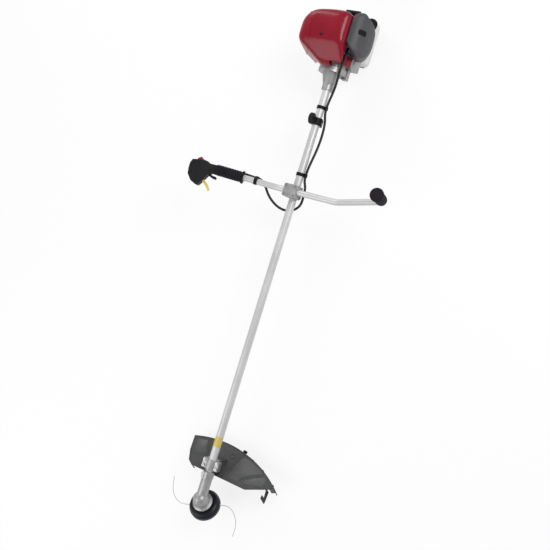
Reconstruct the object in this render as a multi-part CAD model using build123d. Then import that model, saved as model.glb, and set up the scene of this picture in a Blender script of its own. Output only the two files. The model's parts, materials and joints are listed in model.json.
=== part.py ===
from build123d import *
import math
import os

# A four-stroke brush cutter with a U handle and a trimmer head, lying level on flat ground.
# It is modelled about the point where the tube's axis meets the cutting head's spindle:
# +X points forward, away from the engine, +Y to the operator's left and +Z up, in millimetres.
# Places along the tube are distances behind that point. At the end the whole machine is moved,
# so that the origin lies on the ground, below the middle of its bounding box.

# ---------- clearances ----------
seat_gap = 0.1  # between a round part and the seat that holds it
run_gap = 0.05  # radial clearance of a shaft that turns in its bearing
part_gap = 0.3  # between parts that move past each other
mesh_gap = 0.25  # at the tips and roots of the bevel gears' teeth

# ---------- shaft tube and drive shaft ----------
tube_radius = 14.0
tube_wall = 1.5
tube_front = 50.0
tube_rear = 1556.0
shaft_radius = 4.0
bush_count = 6
bush_length = 28.0
ground_drop = 136.0  # height of the tube's axis above the ground

# ---------- bevel gears ----------
spindle_lean = 30.0  # the spindle leans back from the vertical by this much when the tube is level
pinion_teeth = 15
gear_teeth = 20
gear_module = 1.7
tooth_height = 0.8  # height above the pitch cone, in modules
tooth_root = 1.0  # depth below the pitch cone, in modules
tooth_face = 6.0  # length of a tooth along the cone
tooth_fill = 0.42  # share of the pitch that a tooth takes up
gear_back = 12.5
pinion_back = 22.0

# ---------- bearings ----------
shaft_bearing_radius = 11.0
shaft_bearing_width = 7.0
spindle_radius = 6.0
spindle_bearing_radius = 12.5
spindle_bearing_width = 5.0
pinion_bearing_start = 24.0
clutch_bearing_start = 1572.0

# ---------- gear case ----------
case_radius = 27.0
case_cavity = 21.0
neck_radius = 19.5
neck_end = 104.0
neck_clamp_start = 80.0
flange_radius = 36.5
flange_thickness = 4.0
case_bottom = 25.5
clamp_ear_height = 12.0
clamp_ear_width = 20.0
clamp_slit = 2.0

# ---------- blade holder and trimmer head ----------
holder_radius = 29.0
holder_thickness = 5.0
head_top = 32.0
head_shoulder_radius = 51.0
head_rim_radius = 57.0
head_rim_depth = 48.0
head_split = 57.0
head_bottom = 65.0
head_wall = 2.5
knob_radius = 27.0
knob_bottom = 88.0
knob_travel = 5.0
head_hub_radius = 11.0
thread_radius = 5.0
spool_core_radius = 16.0
spool_radius = 47.0
spool_top = 38.5
spool_bottom = 58.0
spool_flange = 2.0
spring_wire = 1.0
spring_turns = 4
line_radius = 1.2
line_plane = 52.0
line_azimuth = 112.0  # where the left-hand line leaves the head, from straight ahead
eyelet_radius = 4.5
eyelet_lip = 1.5

# ---------- guard ----------
guard_front = 93.0
guard_reach = 222.0  # from the spindle back to the guard's rear edge
guard_arc_radius = 410.0
guard_arc_side = -20.0
guard_left = 236.0
guard_right = -146.0
guard_wall = 3.0
guard_top = 18.0
guard_depth = 34.0
skirt_height = 34.0
skirt_thickness = 3.0
skirt_start = 72.0
skirt_drop = 17.0676  # below the guard's rim, down to the ground at the skirt's lowest point
knife_thickness = 2.0
knife_drop = 51.0
knife_inset = 28.3214  # from the guard's arc in to the knife's stem

# ---------- guard bracket ----------
bracket_place = 129.0
bracket_length = 42.0
bracket_width = 44.0
bracket_depth = 22.0
lug_reach = 33.0
lug_thickness = 8.0
clamp_split = 1.0  # gap between the halves of a tube clamp

# ---------- handlebar ----------
bar_place = 1140.0
bar_height = 31.0
bar_radius = 11.0
bar_wall = 1.5
bar_bend = 45.0
right_flat = 60.0
right_rise = 18.0
right_length = 300.0  # from the clamp to the bar's right end, along the bar
bar_in_case = 10.0  # how far the bar's right end reaches into the throttle case
left_flat = 180.0
left_reach = 185.0
left_rise = 55.0
left_sweep = 34.0
grip_angle = 12.0  # how far the left grip leans outwards from upright
left_upright = 140.0
clamp_length = 46.0
clamp_width = 52.0
clamp_cap_height = 16.0
grip_radius = 19.0
grip_flange = 23.0
grip_flange_width = 7.0
grip_length = 104.0
left_grip_length = 112.0
grip_rib = 0.9
grip_rib_count = 9

# ---------- throttle case ----------
case_half = 18.0
case_wall = 2.5
trigger_thickness = 9.0
trigger_pivot = (44.0, 44.0)
trigger_pin_radius = 2.0
switch_width = 14.0
switch_length = 32.0
switch_pivot = (-14.0, 61.0)
lever_thickness = 8.0
lever_pivot = (21.0, 19.0)

# ---------- throttle cable ----------
cable_radius = 4.5
tie_width = 12.0
tie_wall = 2.0

# ---------- harness hanger ----------
hanger_place = 1405.0
hanger_width = 26.0
hanger_wall = 5.0
eye_height = 44.0
eye_radius = 20.0
eye_bore = 8.0
eye_thickness = 10.0

# ---------- engine ----------
bell_neck_radius = 20.0
bell_neck_start = 1522.0
bell_widening = 1540.0  # where the neck begins to widen
bell_cone_radius = 34.0
bell_flange_start = 1583.0
bell_flange_end = 1602.0
bell_radius = 50.0
bell_end = 1616.0
drum_radius = 38.0
drum_wall = 3.0
drum_start = 1607.0
drum_end = 1623.0
drum_hub_radius = 8.0
shoe_radius = 33.5
shoe_thickness = 8.0
shoe_bore = 13.0
shoe_slit = 5.0
shoe_post = 3.0
fan_case_radius = 63.0
fan_case_wall = 4.0
case_plate = 5.0
fan_case_end = 1656.0
flywheel_radius = 55.0
flywheel_start = 1628.0
flywheel_thickness = 8.0
flywheel_hub = 16.0
fan_height = 9.0
fan_blades = 16
crank_radius = 7.5
stroke = 30.0
bore = 39.0
web_radius = 24.0
web_thickness = 9.0
pin_radius = 6.5
cylinder_place = 1690.0
web_opening = 16.0
crankcase_radius = 36.0
crankcase_wall = 6.0
crankcase_rear = 1731.0
plate_radius = 60.0
deck_height = 38.0
rod_length = 50.0
rod_width = 10.0
wrist_radius = 4.0
piston_crown = 18.0  # from the wrist pin up to the crown
piston_skirt = 10.0  # from the wrist pin down to the skirt's lower edge
piston_wall = 3.5
barrel_wall = 5.0
barrel_top = 88.0
fin_radius = 28.0
fin_count = 6
fin_thickness = 2.0
cylinder_top = 118.0
crank_front = 1621.0
crank_rear = 1752.0

# ---------- engine covers ----------
view_lean = 27.0  # the covers' outlines are drawn in a plane that leans to the left by this much
cover_front = 1590.0
cover_rear = 1785.0
cover_top = 132.0
cover_wall = 2.5
starter_radius = 60.0
starter_rear = 1790.0
starter_wall = 2.5
starter_grip_radius = 9.0
starter_grip_length = 58.0
starter_grip_side = 30.0
starter_grip_height = 36.0
rope_radius = 2.0
rope_length = 62.0
muffler_length = 62.0
muffler_side = -66.0
muffler_depth = 38.0
muffler_low = 34.0
muffler_height = 52.0
port_radius = 9.0
port_height = 66.0
carburettor_side = 36.0
carburettor_depth = 34.0
carburettor_length = 42.0
air_wall = 2.5
air_filter_depth = 14.0
air_post_radius = 4.0
choke_reach = 26.0
plug_height = 104.0
tank_wall = 3.0
tank_top = -62.0
tank_front = 1658.0
tank_rear = 1820.0
tank_left = 76.0
tank_right = -78.0
tank_corner = 16.0
foot_height = 9.0
foot_width = 24.0
foot_inset = 24.0  # from the tank's left side in to the left foot
filler_place = 1790.0
filler_side = 61.0
filler_radius = 15.0
filler_height = 20.0
fuel_cap_radius = 21.0
fuel_cap_height = 17.0

# ---------- fasteners ----------
bolt_radius = 2.5
bolt_head_radius = 4.3
bolt_head_height = 5.0
bolt_length = 20.0
screw_radius = 1.8
screw_head_radius = 3.6
screw_head_height = 2.4
screw_length = 9.0

parts = {}
head_frame = Location((0, 0, 0), (0, -spindle_lean, 0))


# ---------- shared helpers ----------
def place(distance, y=0.0, z=0.0):
    """A point given by its distance behind the spindle."""
    return Vector(-distance, y, z)


def rod(radius, start, end, y=0.0, z=0.0):
    """A cylinder parallel to the tube between two distances behind the spindle."""
    middle = place((start + end) / 2, y, z)
    return Pos(middle) * Rot(0, 90, 0) * Cylinder(radius, end - start)


def block(start, end, y_low, y_high, z_low, z_high):
    """A box between two distances behind the spindle."""
    middle = place((start + end) / 2, (y_low + y_high) / 2, (z_low + z_high) / 2)
    return Pos(middle) * Box(end - start, y_high - y_low, z_high - z_low)


def turned_on_tube(profile):
    """Revolve (distance, radius) points about the tube's axis."""
    outline = Polyline(*[(-distance, 0, radius) for distance, radius in profile], close=True)
    return revolve(make_face(outline), Axis.X, 360)


def turned(profile):
    """Revolve (radius, height) points about the local Z axis."""
    outline = Polyline(*[(radius, 0, height) for radius, height in profile], close=True)
    return revolve(make_face(outline), Axis.Z, 360)


def flat_plate(points, low, high):
    """A plate with a polygon outline in the local XY plane, between two heights."""
    face = make_face(Polyline(*points, close=True))
    return Pos(0, 0, low) * extrude(face, high - low)


def swept(path, radius):
    """A round rod along a path of straight runs and arcs."""
    return sweep((path ^ 0) * Circle(radius), path=path)


def seat(radius):
    """The hole that holds a round part of this radius."""
    return radius + seat_gap


# ---------- fasteners ----------
def bolt():
    """A socket-head bolt with its head's underside at the origin and its shank pointing down."""
    head = Cylinder(bolt_head_radius, bolt_head_height, align=(Align.CENTER, Align.CENTER, Align.MIN))
    socket = Cylinder(bolt_head_radius / 2, bolt_head_height, align=(Align.CENTER, Align.CENTER, Align.MIN))
    shank = Cylinder(bolt_radius, bolt_length, align=(Align.CENTER, Align.CENTER, Align.MAX))
    return head - Pos(0, 0, bolt_head_height / 2) * socket + shank


def bolt_hole():
    hole_length = bolt_length + 1
    shank = Cylinder(seat(bolt_radius), hole_length, align=(Align.CENTER, Align.CENTER, Align.MAX))
    head_room = 2 * bolt_head_height
    head = Cylinder(bolt_head_radius + 0.4, head_room, align=(Align.CENTER, Align.CENTER, Align.MIN))
    return shank + head


def screw():
    """A pan-head screw with its head's underside at the origin and its shank pointing down."""
    head = Cylinder(screw_head_radius, screw_head_height, align=(Align.CENTER, Align.CENTER, Align.MIN))
    slot = Pos(0, 0, screw_head_height) * Box(2 * screw_head_radius, 0.8, 1.6)
    shank = Cylinder(screw_radius, screw_length, align=(Align.CENTER, Align.CENTER, Align.MAX))
    return head - slot + shank


def screw_hole():
    shank = Cylinder(seat(screw_radius), screw_length + 1, align=(Align.CENTER, Align.CENTER, Align.MAX))
    head = Cylinder(screw_head_radius + 0.4, 12, align=(Align.CENTER, Align.CENTER, Align.MIN))
    return shank + head


gear_case_bolts = [Location(place(neck_end - 12, -clamp_ear_width / 2, neck_radius + 5), (90, 0, 0))]
bracket_bolt_side = lug_reach - 7
bracket_bolts = [
    Location(place(bracket_place + along, side, clamp_split / 2 + lug_thickness))
    for along in (-bracket_length / 4, bracket_length / 4)
    for side in (-bracket_bolt_side, bracket_bolt_side)
]
clamp_bolt_side = clamp_width / 2 - 6
clamp_bolt_along = clamp_length / 2 - 6
handle_bolts = [
    Location(place(bar_place + along, side, bar_height + bar_radius + 3))
    for along in (-clamp_bolt_along, clamp_bolt_along)
    for side in (-clamp_bolt_side, clamp_bolt_side)
]
bell_bolt_height = -(bell_neck_radius + 1)
bell_bolts = [
    Location(place(bell_neck_start + along, -clamp_ear_width / 2, bell_bolt_height), (90, 0, 0))
    for along in (8, 24)
]
hanger_bolt_height = -(tube_radius + hanger_wall + 5)
hanger_bolts = [Location(place(hanger_place, -clamp_ear_width / 2, hanger_bolt_height), (90, 0, 0))]
bolt_places = gear_case_bolts + bracket_bolts + handle_bolts + bell_bolts + hanger_bolts


def with_bolt_holes(solid, locations):
    for location in locations:
        solid -= location * bolt_hole()
    return solid


# ---------- shaft tube and what runs in it ----------
tube_inside = rod(tube_radius - tube_wall, tube_front, tube_rear)
parts["main_tube"] = rod(tube_radius, tube_front, tube_rear) - tube_inside

cone_factor = gear_teeth / pinion_teeth
shaft_angle = math.radians(90 + spindle_lean)
pinion_cone = math.atan2(math.sin(shaft_angle), cone_factor + math.cos(shaft_angle))
gear_cone = shaft_angle - pinion_cone
gear_pitch_radius = gear_module * gear_teeth / 2
cone_length = gear_pitch_radius / math.sin(gear_cone)
drive_front = cone_length * math.cos(pinion_cone) + 2
drive_rear = drum_start + drum_wall
parts["drive_shaft"] = rod(shaft_radius, drive_front, drive_rear)

bush_span = (tube_rear - tube_front) / bush_count
bushes = []
for index in range(bush_count):
    middle = tube_front + (index + 0.5) * bush_span
    start, end = middle - bush_length / 2, middle + bush_length / 2
    liner = rod(tube_radius - tube_wall - seat_gap, start, end)
    bushes.append(liner - rod(shaft_radius + run_gap, start, end))
parts["shaft_bushes"] = Compound(bushes)


# ---------- bevel gears ----------
def bevel_gear(teeth, cone, bore_radius, back, hub_radius, turn):
    """A bevel gear about local Z with its cones' apex at the origin, opening upwards."""
    root_angle = math.atan2(tooth_root * gear_module + mesh_gap, cone_length)
    tip_angle = math.atan2(tooth_height * gear_module, cone_length)
    inner_length = cone_length - tooth_face

    def on_cone(length, angle):
        return (length * math.sin(angle), length * math.cos(angle))

    root_outer = on_cone(cone_length, cone - root_angle)
    root_inner = on_cone(inner_length, cone - root_angle)
    bore_edge = (bore_radius, root_inner[1])
    hub_edge = (hub_radius, back)
    rim_back = (root_outer[0], root_outer[1] + 2.5)
    hub_top = (hub_radius, max(root_outer[1] + 3.5, back - 3))
    body = turned([bore_edge, root_inner, root_outer, rim_back, hub_top, hub_edge, (bore_radius, back)])

    def tooth_face_at(length):
        scale = length / cone_length
        pitch_width = tooth_fill * math.pi * gear_module * scale
        root_width, tip_width = 1.25 * pitch_width, 0.6 * pitch_width
        low = on_cone(length, cone - root_angle * 1.35)
        high = on_cone(length, cone + tip_angle)
        corners = [
            (low[0], -root_width / 2, low[1]),
            (low[0], root_width / 2, low[1]),
            (high[0], tip_width / 2, high[1]),
            (high[0], -tip_width / 2, high[1]),
        ]
        return make_face(Polyline(*corners, close=True))

    tooth = loft([tooth_face_at(inner_length), tooth_face_at(cone_length)])
    for index in range(teeth):
        body += Rot(0, 0, turn + index * 360 / teeth) * tooth
    return body


# The gear's local Z points down the spindle and the pinion's points back along the tube.
# Both local X axes lie in the plane of symmetry, so the half tooth of turn puts them in mesh.
gear_hub_radius = spindle_radius + 3
gear_axis = head_frame * Location((0, 0, 0), (180, 0, 0))
gear_solid = bevel_gear(gear_teeth, gear_cone, seat(spindle_radius), gear_back, gear_hub_radius, 0)
parts["output_gear"] = gear_axis * gear_solid
pinion_axis = Location((0, 0, 0), (0, -90, 0))
half_tooth = 180 / pinion_teeth
pinion_solid = bevel_gear(pinion_teeth, pinion_cone, seat(shaft_radius), pinion_back, 8.0, 180 + half_tooth)
parts["pinion_gear"] = pinion_axis * pinion_solid

# ---------- ball bearings ----------
spindle_bearing_top = -(gear_back + 0.5)
bearings = []
for start in (pinion_bearing_start, clutch_bearing_start):
    end = start + shaft_bearing_width
    bearings.append(rod(shaft_bearing_radius, start, end) - rod(shaft_radius + run_gap, start, end))
for index in range(2):
    top = spindle_bearing_top - index * (spindle_bearing_width + 0.5)
    outline = Cylinder(spindle_bearing_radius, spindle_bearing_width)
    hole = Cylinder(spindle_radius + run_gap, spindle_bearing_width)
    bearings.append(head_frame * Pos(0, 0, top - spindle_bearing_width / 2) * (outline - hole))
parts["ball_bearings"] = Compound(bearings)

# ---------- gear case ----------
neck = rod(neck_radius, 0, neck_end)
clamp_collar = rod(neck_radius + 1.5, neck_clamp_start, neck_end)
flange_top = flange_thickness - case_bottom
case_drum = head_frame * turned([
    (0, -case_bottom), (flange_radius, -case_bottom), (flange_radius, flange_top),
    (flange_radius - 4, flange_top + 2), (case_radius + 2, flange_top + 5),
    (case_radius + 1, 4), (0.93 * case_radius, 0.5 * case_radius), (0.7 * case_radius, 0.78 * case_radius),
    (0.36 * case_radius, 0.94 * case_radius), (0, case_radius),
])
clamp_ear = block(
    neck_clamp_start, neck_end, -clamp_ear_width / 2, clamp_ear_width / 2,
    tube_radius, neck_radius + clamp_ear_height,
)
gear_case = case_drum + neck + clamp_collar + clamp_ear
gear_case -= Sphere(case_cavity)
gear_case -= rod(seat(shaft_bearing_radius), case_cavity - 5, tube_front)
gear_case -= rod(seat(tube_radius), tube_front, neck_end)
bearing_seat = Cylinder(seat(spindle_bearing_radius), case_bottom + 10)
gear_case -= head_frame * Pos(0, 0, -(case_bottom + 10) / 2 - 4) * bearing_seat
gear_case -= block(
    neck_clamp_start - 4, neck_end, -clamp_slit / 2, clamp_slit / 2,
    0, neck_radius + clamp_ear_height,
)
parts["gear_case"] = with_bolt_holes(gear_case, gear_case_bolts)

# ---------- spindle and blade holder ----------
spindle_top = -(cone_length - tooth_face) * math.cos(gear_cone) - 0.5
thread_end = -(head_bottom - 5)
spindle = turned([
    (0, spindle_top), (spindle_radius, spindle_top), (spindle_radius, -head_top + 0.5),
    (thread_radius, -head_top), (thread_radius, thread_end), (0, thread_end),
])
parts["output_shaft"] = head_frame * spindle
holder_top = -(head_top - holder_thickness)
holder = turned([
    (seat(spindle_radius), holder_top + 1), (spindle_radius + 4, holder_top + 1),
    (spindle_radius + 5, holder_top), (holder_radius - 1, holder_top),
    (holder_radius, holder_top - 1), (holder_radius, -head_top), (seat(spindle_radius), -head_top),
])
parts["blade_holder"] = head_frame * holder

# ---------- trimmer head ----------
hub_bore = seat(thread_radius)
housing = turned([
    (hub_bore, -head_top), (head_shoulder_radius - 5, -head_top), (head_shoulder_radius, -head_top - 3),
    (head_rim_radius, -head_rim_depth), (head_rim_radius, -head_split),
    (head_rim_radius - head_wall, -head_split), (head_rim_radius - head_wall, -head_rim_depth),
    (head_shoulder_radius - head_wall, -head_top - 5), (head_hub_radius, -head_top - 5),
    (head_hub_radius, -head_split), (hub_bore, -head_split),
])
cover = turned([
    (head_rim_radius, -head_split), (head_rim_radius, -head_split - 3), (head_rim_radius - 5, -head_bottom),
    (knob_radius + part_gap, -head_bottom), (knob_radius + part_gap, -head_bottom + head_wall),
    (head_rim_radius - 8, -head_bottom + head_wall), (head_rim_radius - head_wall, -head_split),
])
eyelet_angles = (line_azimuth, line_azimuth + 180)
eyelet_length = head_wall + 2 * eyelet_lip
eyelets = []
for angle in eyelet_angles:
    eyelet_place = Rot(0, 0, angle) * Pos(head_rim_radius - head_wall / 2, 0, -line_plane) * Rot(0, 90, 0)
    housing -= eyelet_place * Cylinder(seat(eyelet_radius - 1.5), 3 * head_wall)
    barrel = Cylinder(eyelet_radius - 1.5, eyelet_length)
    lip = Pos(0, 0, head_wall / 2 + eyelet_lip / 2 + seat_gap) * Cylinder(eyelet_radius, eyelet_lip)
    eyelets.append(eyelet_place * (barrel + lip - Cylinder(seat(line_radius), 2 * eyelet_length)))
parts["head_housing"] = head_frame * housing
parts["head_cover"] = head_frame * cover
parts["line_eyelets"] = head_frame * Compound(eyelets)

spool = turned([
    (seat(head_hub_radius), -spool_top), (spool_radius, -spool_top),
    (spool_radius, -spool_top - spool_flange), (spool_core_radius, -spool_top - spool_flange),
    (spool_core_radius, -spool_bottom + spool_flange),
    (spool_radius, -spool_bottom + spool_flange), (spool_radius, -spool_bottom),
    (seat(head_hub_radius), -spool_bottom),
])
parts["line_spool"] = head_frame * spool

knob = turned([
    (0, -knob_bottom + 4), (knob_radius - 10, -knob_bottom), (knob_radius - 3, -knob_bottom + 3),
    (knob_radius, -knob_bottom + 10), (knob_radius, -spool_bottom - knob_travel - part_gap),
    (0, -spool_bottom - knob_travel - part_gap),
])
knob -= Pos(0, 0, -head_bottom) * Cylinder(head_hub_radius + 2.5, 12)
for index in range(8):
    knob -= Rot(0, 0, index * 45) * Pos(knob_radius + 2, 0, -knob_bottom + 6) * Cylinder(4, 14)
parts["bump_knob"] = head_frame * knob

# The spring lies between the hub's end and the knob's recess.
spring_top = -head_split - part_gap
spring_bottom = -head_bottom - 6 + part_gap
spring_pitch = (spring_top - spring_bottom - 2 * spring_wire) / spring_turns
spring_path = Helix(spring_pitch, spring_pitch * spring_turns, head_hub_radius - 2)
spring = sweep(Plane(spring_path @ 0, z_dir=spring_path % 0) * Circle(spring_wire), path=spring_path)
parts["spool_spring"] = head_frame * Pos(0, 0, spring_bottom + spring_wire) * spring


# ---------- trimmer lines ----------
def run_radii(points):
    """The largest arc that each corner of a route has room for."""
    radii = []
    for before, corner, after in zip(points, points[1:], points[2:]):
        run_in, run_out = corner - before, after - corner
        turn = math.radians(run_in.get_angle(run_out))
        radii.append(0.45 * min(run_in.length, run_out.length) / math.tan(turn / 2))
    return radii


def route(points):
    """Straight runs joined by tangent arcs."""
    vectors = [Vector(*point) for point in points]
    return FilletPolyline(*vectors, radius=run_radii(vectors))


# Each line's points, in millimetres ahead and to the left of the spindle, in the plane of the eyelets.
right_line_points = [
    (22.3, -55.2), (29, -74), (30, -95), (23, -116), (10, -134), (-7, -148), (-27, -159), (-49, -169),
]
left_line_points = [
    (-22.3, 55.2), (-29, 74), (-27, 95), (-17, 114), (-3, 130), (15, 143), (37, 151), (60, 155),
]
for name, points in (("trimmer_line_right", right_line_points), ("trimmer_line_left", left_line_points)):
    line_route = route([(x, y, -line_plane) for x, y in points])
    parts[name] = head_frame * swept(line_route, line_radius)

# ---------- guard ----------
guard_arc_back = guard_arc_radius - guard_reach
guard_rim = guard_top - guard_depth


def guard_arc(y, radius):
    """A point of the guard's outer arc, at a place to the left of the spindle."""
    run = math.sqrt(radius ** 2 - (y - guard_arc_side) ** 2)
    return (guard_arc_back - run, y)


guard_left_end = guard_arc(guard_left, guard_arc_radius)
guard_right_end = guard_arc(guard_right, guard_arc_radius)
guard_rear_edge = ThreePointArc(guard_right_end, guard_arc(guard_arc_side, guard_arc_radius), guard_left_end)
guard_front_right = guard_right + 50
guard_front_left = guard_left - 98
guard_front_edge = Polyline(
    guard_left_end, (-guard_front - 26, guard_left - 29), (-guard_front + 3, guard_front_left),
    (-guard_front - 3, guard_front_right), (-guard_front - 16, guard_right + 31),
    (-guard_front - 52, guard_right + 14), guard_right_end,
)
guard_outline = make_face(guard_rear_edge + guard_front_edge)
guard_shell = Pos(0, 0, guard_rim) * extrude(guard_outline, guard_depth)
hollow_depth = guard_depth - guard_wall
guard_shell -= Pos(0, 0, guard_rim) * extrude(offset(guard_outline, amount=-guard_wall), hollow_depth)
front_gap = make_face(Polyline(
    (guard_wall - guard_front + 20, guard_front_right + guard_wall),
    (-guard_front - 11, guard_front_right + guard_wall), (-guard_front - 7, guard_front_left - 8),
    (-guard_front - 33, guard_left - 36), (-guard_front - 43, guard_left - 14),
    (guard_wall - guard_front + 20, guard_left - 14), close=True,
))
guard_shell -= Pos(0, 0, guard_rim) * extrude(front_gap, hollow_depth)


bracket_base = -bracket_depth
boss_half = bracket_width / 2 + 2
boss_front = bracket_place - bracket_length / 2 - 2
boss_rear = bracket_place + bracket_length / 2 + 2
boss_block = block(boss_front, boss_rear, -boss_half, boss_half, -90, bracket_base)
above_guard = Box(guard_reach, guard_reach, guard_reach, align=(Align.CENTER, Align.CENTER, Align.MIN))
above_guard = head_frame * Pos(-bracket_place, 0, guard_top - guard_wall) * above_guard
boss = boss_block & above_guard
boss_hollow = block(boss_front + 4, boss_rear - 4, -boss_half + 4, boss_half - 4, -90, bracket_base - 5)
guard = head_frame * guard_shell + (boss - boss_hollow)

# ---------- guard skirt and line knife ----------
skirt_inner = guard_arc_radius + seat_gap
skirt_outer = skirt_inner + skirt_thickness
skirt_end = guard_left + 11


def arc_band(inner, outer, start, end):
    """A flat band between two radii of the guard's outer arc."""
    middle = (start + end) / 2
    inside = ThreePointArc(guard_arc(start, inner), guard_arc(middle, inner), guard_arc(end, inner))
    outside = ThreePointArc(guard_arc(start, outer), guard_arc(middle, outer), guard_arc(end, outer))
    first = Line(guard_arc(start, inner), guard_arc(start, outer))
    last = Line(guard_arc(end, inner), guard_arc(end, outer))
    return make_face(inside + outside + first + last)


skirt_low = guard_rim - skirt_drop
skirt_face = arc_band(skirt_inner, skirt_outer, skirt_start, skirt_end)
skirt_arc = Pos(0, 0, skirt_low) * extrude(skirt_face, skirt_height)
skirt_side = make_face(Polyline(
    (skirt_start - 1, skirt_low - 1), (skirt_start + 68, skirt_low - 1), (skirt_end + 1, skirt_low + 22),
    (skirt_end + 1, skirt_low + skirt_height + 1), (skirt_start - 1, skirt_low + skirt_height + 1),
    close=True,
))
skirt_arc &= extrude(Plane.YZ * skirt_side, 2 * guard_reach, both=True)
knife_side = guard_left - 48
tab_root = guard_arc(knife_side, guard_arc_radius)[0]
knife_reach = tab_root + knife_inset
skirt_foot = guard_rim - part_gap
tab_thickness = 4.0
skirt_tab = flat_plate(
    [
        (tab_root - 12, knife_side - 12), (knife_reach - 10, knife_side - 15),
        (knife_reach + 6, knife_side - 16), (knife_reach + 6, knife_side + 10),
        (tab_root - 12, knife_side + 12),
    ],
    skirt_foot - tab_thickness, skirt_foot,
)
skirt_tab &= Pos(guard_arc_back, guard_arc_side, skirt_foot) * Cylinder(skirt_inner + 1, 3 * tab_thickness)
guard_skirt = skirt_arc + skirt_tab

knife_top = skirt_foot - tab_thickness
knife_stem = Pos(knife_reach, knife_side, (knife_top - knife_drop) / 2)
knife_stem *= Box(8, knife_thickness, knife_drop + knife_top)
blade_offsets = [(-5, -7), (1, 7), (44, 13), (47, 10), (34, -10), (20, -11), (27, 1)]
blade_points = [(knife_reach + along, knife_side + side) for along, side in blade_offsets]
knife_blade = flat_plate(blade_points, -knife_drop - knife_thickness, -knife_drop)
knife_seat_place = knife_reach - 3
knife_seat = Box(14, 14, knife_thickness, align=(Align.CENTER, Align.CENTER, Align.MAX))
knife_seat = Pos(knife_seat_place, knife_side - 5, knife_top) * knife_seat

skirt_screws = [
    Pos(*guard_arc(y, skirt_outer), guard_rim + 5)
    * Rot(0, 0, math.degrees(math.atan2(y - guard_arc_side, -guard_arc_radius)))
    * Rot(0, 90, 0)
    for y in (skirt_start + 28, (skirt_start + guard_left) / 2, guard_left - 20)
]
skirt_screws = [head_frame * location for location in skirt_screws]
knife_screw_place = Pos(knife_seat_place, knife_side - 7, knife_top - knife_thickness)
knife_screw = head_frame * knife_screw_place * Rot(180, 0, 0)
for location in skirt_screws:
    guard -= location * screw_hole()
    guard_skirt -= head_frame.inverse() * location * screw_hole()
knife_hole = head_frame.inverse() * knife_screw * screw_hole()
parts["guard"] = guard - head_frame * knife_hole
parts["guard_skirt"] = head_frame * (guard_skirt - knife_hole)
parts["line_knife"] = head_frame * (knife_stem + knife_blade + knife_seat - knife_hole)

# ---------- guard bracket ----------
bracket_start = bracket_place - bracket_length / 2
bracket_end = bracket_place + bracket_length / 2
bracket_half = bracket_width / 2
saddle_low = clamp_split / 2
bracket = block(bracket_start, bracket_end, -bracket_half, bracket_half, -bracket_depth, -saddle_low)
lug_floor = -saddle_low - lug_thickness - 4
bracket += block(bracket_start + 4, bracket_end - 4, -lug_reach, lug_reach, lug_floor, -saddle_low)
bracket -= rod(seat(tube_radius), bracket_start, bracket_end)
parts["guard_bracket"] = with_bolt_holes(bracket, bracket_bolts)
cap = rod(tube_radius + 5, bracket_start + 4, bracket_end - 4)
lug_top = saddle_low + lug_thickness
cap += block(bracket_start + 4, bracket_end - 4, -lug_reach, lug_reach, saddle_low, lug_top)
cap -= rod(seat(tube_radius), bracket_start, bracket_end)
cap &= block(bracket_start, bracket_end, -lug_reach, lug_reach, saddle_low, tube_radius + 6)
parts["guard_clamp"] = with_bolt_holes(cap, bracket_bolts)

# ---------- handlebar ----------
rise_sine = math.sin(math.radians(right_rise))
rise_cosine = math.cos(math.radians(right_rise))
bar_middle = place(bar_place, 0, bar_height)
right_corner = bar_middle + Vector(0, -right_flat, 0)
right_arm = right_length - right_flat
right_direction = Vector(0, -rise_cosine, rise_sine)
right_end = right_corner + right_direction * right_arm
case_start = right_length - bar_in_case
grip_start = case_start - grip_length
left_corner = bar_middle + Vector(0, left_flat, 0)
left_knee = left_corner + Vector(-left_sweep, left_reach, left_rise)
grip_direction = Vector(0, math.sin(math.radians(grip_angle)), math.cos(math.radians(grip_angle)))
left_end = left_knee + grip_direction * left_upright
bar_points = [right_end, right_corner, left_corner, left_knee, left_end]
bar_path = FilletPolyline(*bar_points, radius=[bar_bend * 2, bar_bend * 2, bar_bend])
bar_outside = swept(bar_path, bar_radius)
bar_inside = swept(bar_path, bar_radius - bar_wall)
parts["handlebar"] = bar_outside - bar_inside

# ---------- handle clamp ----------
clamp_front = bar_place - clamp_length / 2
clamp_rear = bar_place + clamp_length / 2
clamp_half = clamp_width / 2
bar_bore = Pos(bar_middle) * Rot(90, 0, 0) * Cylinder(seat(bar_radius), clamp_width + 2)
base_low = -(tube_radius + 5)
base_split = 0.0
base = block(clamp_front, clamp_rear, -clamp_half, clamp_half, base_split, bar_height - clamp_split / 2)
base += block(clamp_front + 6, clamp_rear - 6, -tube_radius - 5, tube_radius + 5, base_low, base_split)
base -= rod(seat(tube_radius), clamp_front, clamp_rear)
base -= bar_bore
parts["handle_base"] = with_bolt_holes(fillet(base.edges().filter_by(Axis.Z), 3), handle_bolts)
cap_low = bar_height + clamp_split / 2
handle_cap = block(clamp_front, clamp_rear, -clamp_half, clamp_half, cap_low, bar_height + clamp_cap_height)
handle_cap = fillet(handle_cap.edges().filter_by(Axis.Z), 3)
handle_cap = fillet(handle_cap.edges().group_by(Axis.Z)[-1], 2)
parts["handle_cap"] = with_bolt_holes(handle_cap - bar_bore, handle_bolts)

# ---------- grips ----------
def bar_frame(origin, direction):
    """A frame on the bar with Z along it, pointing to the bar's end, and X straight ahead."""
    return Plane(origin=origin, x_dir=(1, 0, 0), z_dir=direction)


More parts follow.
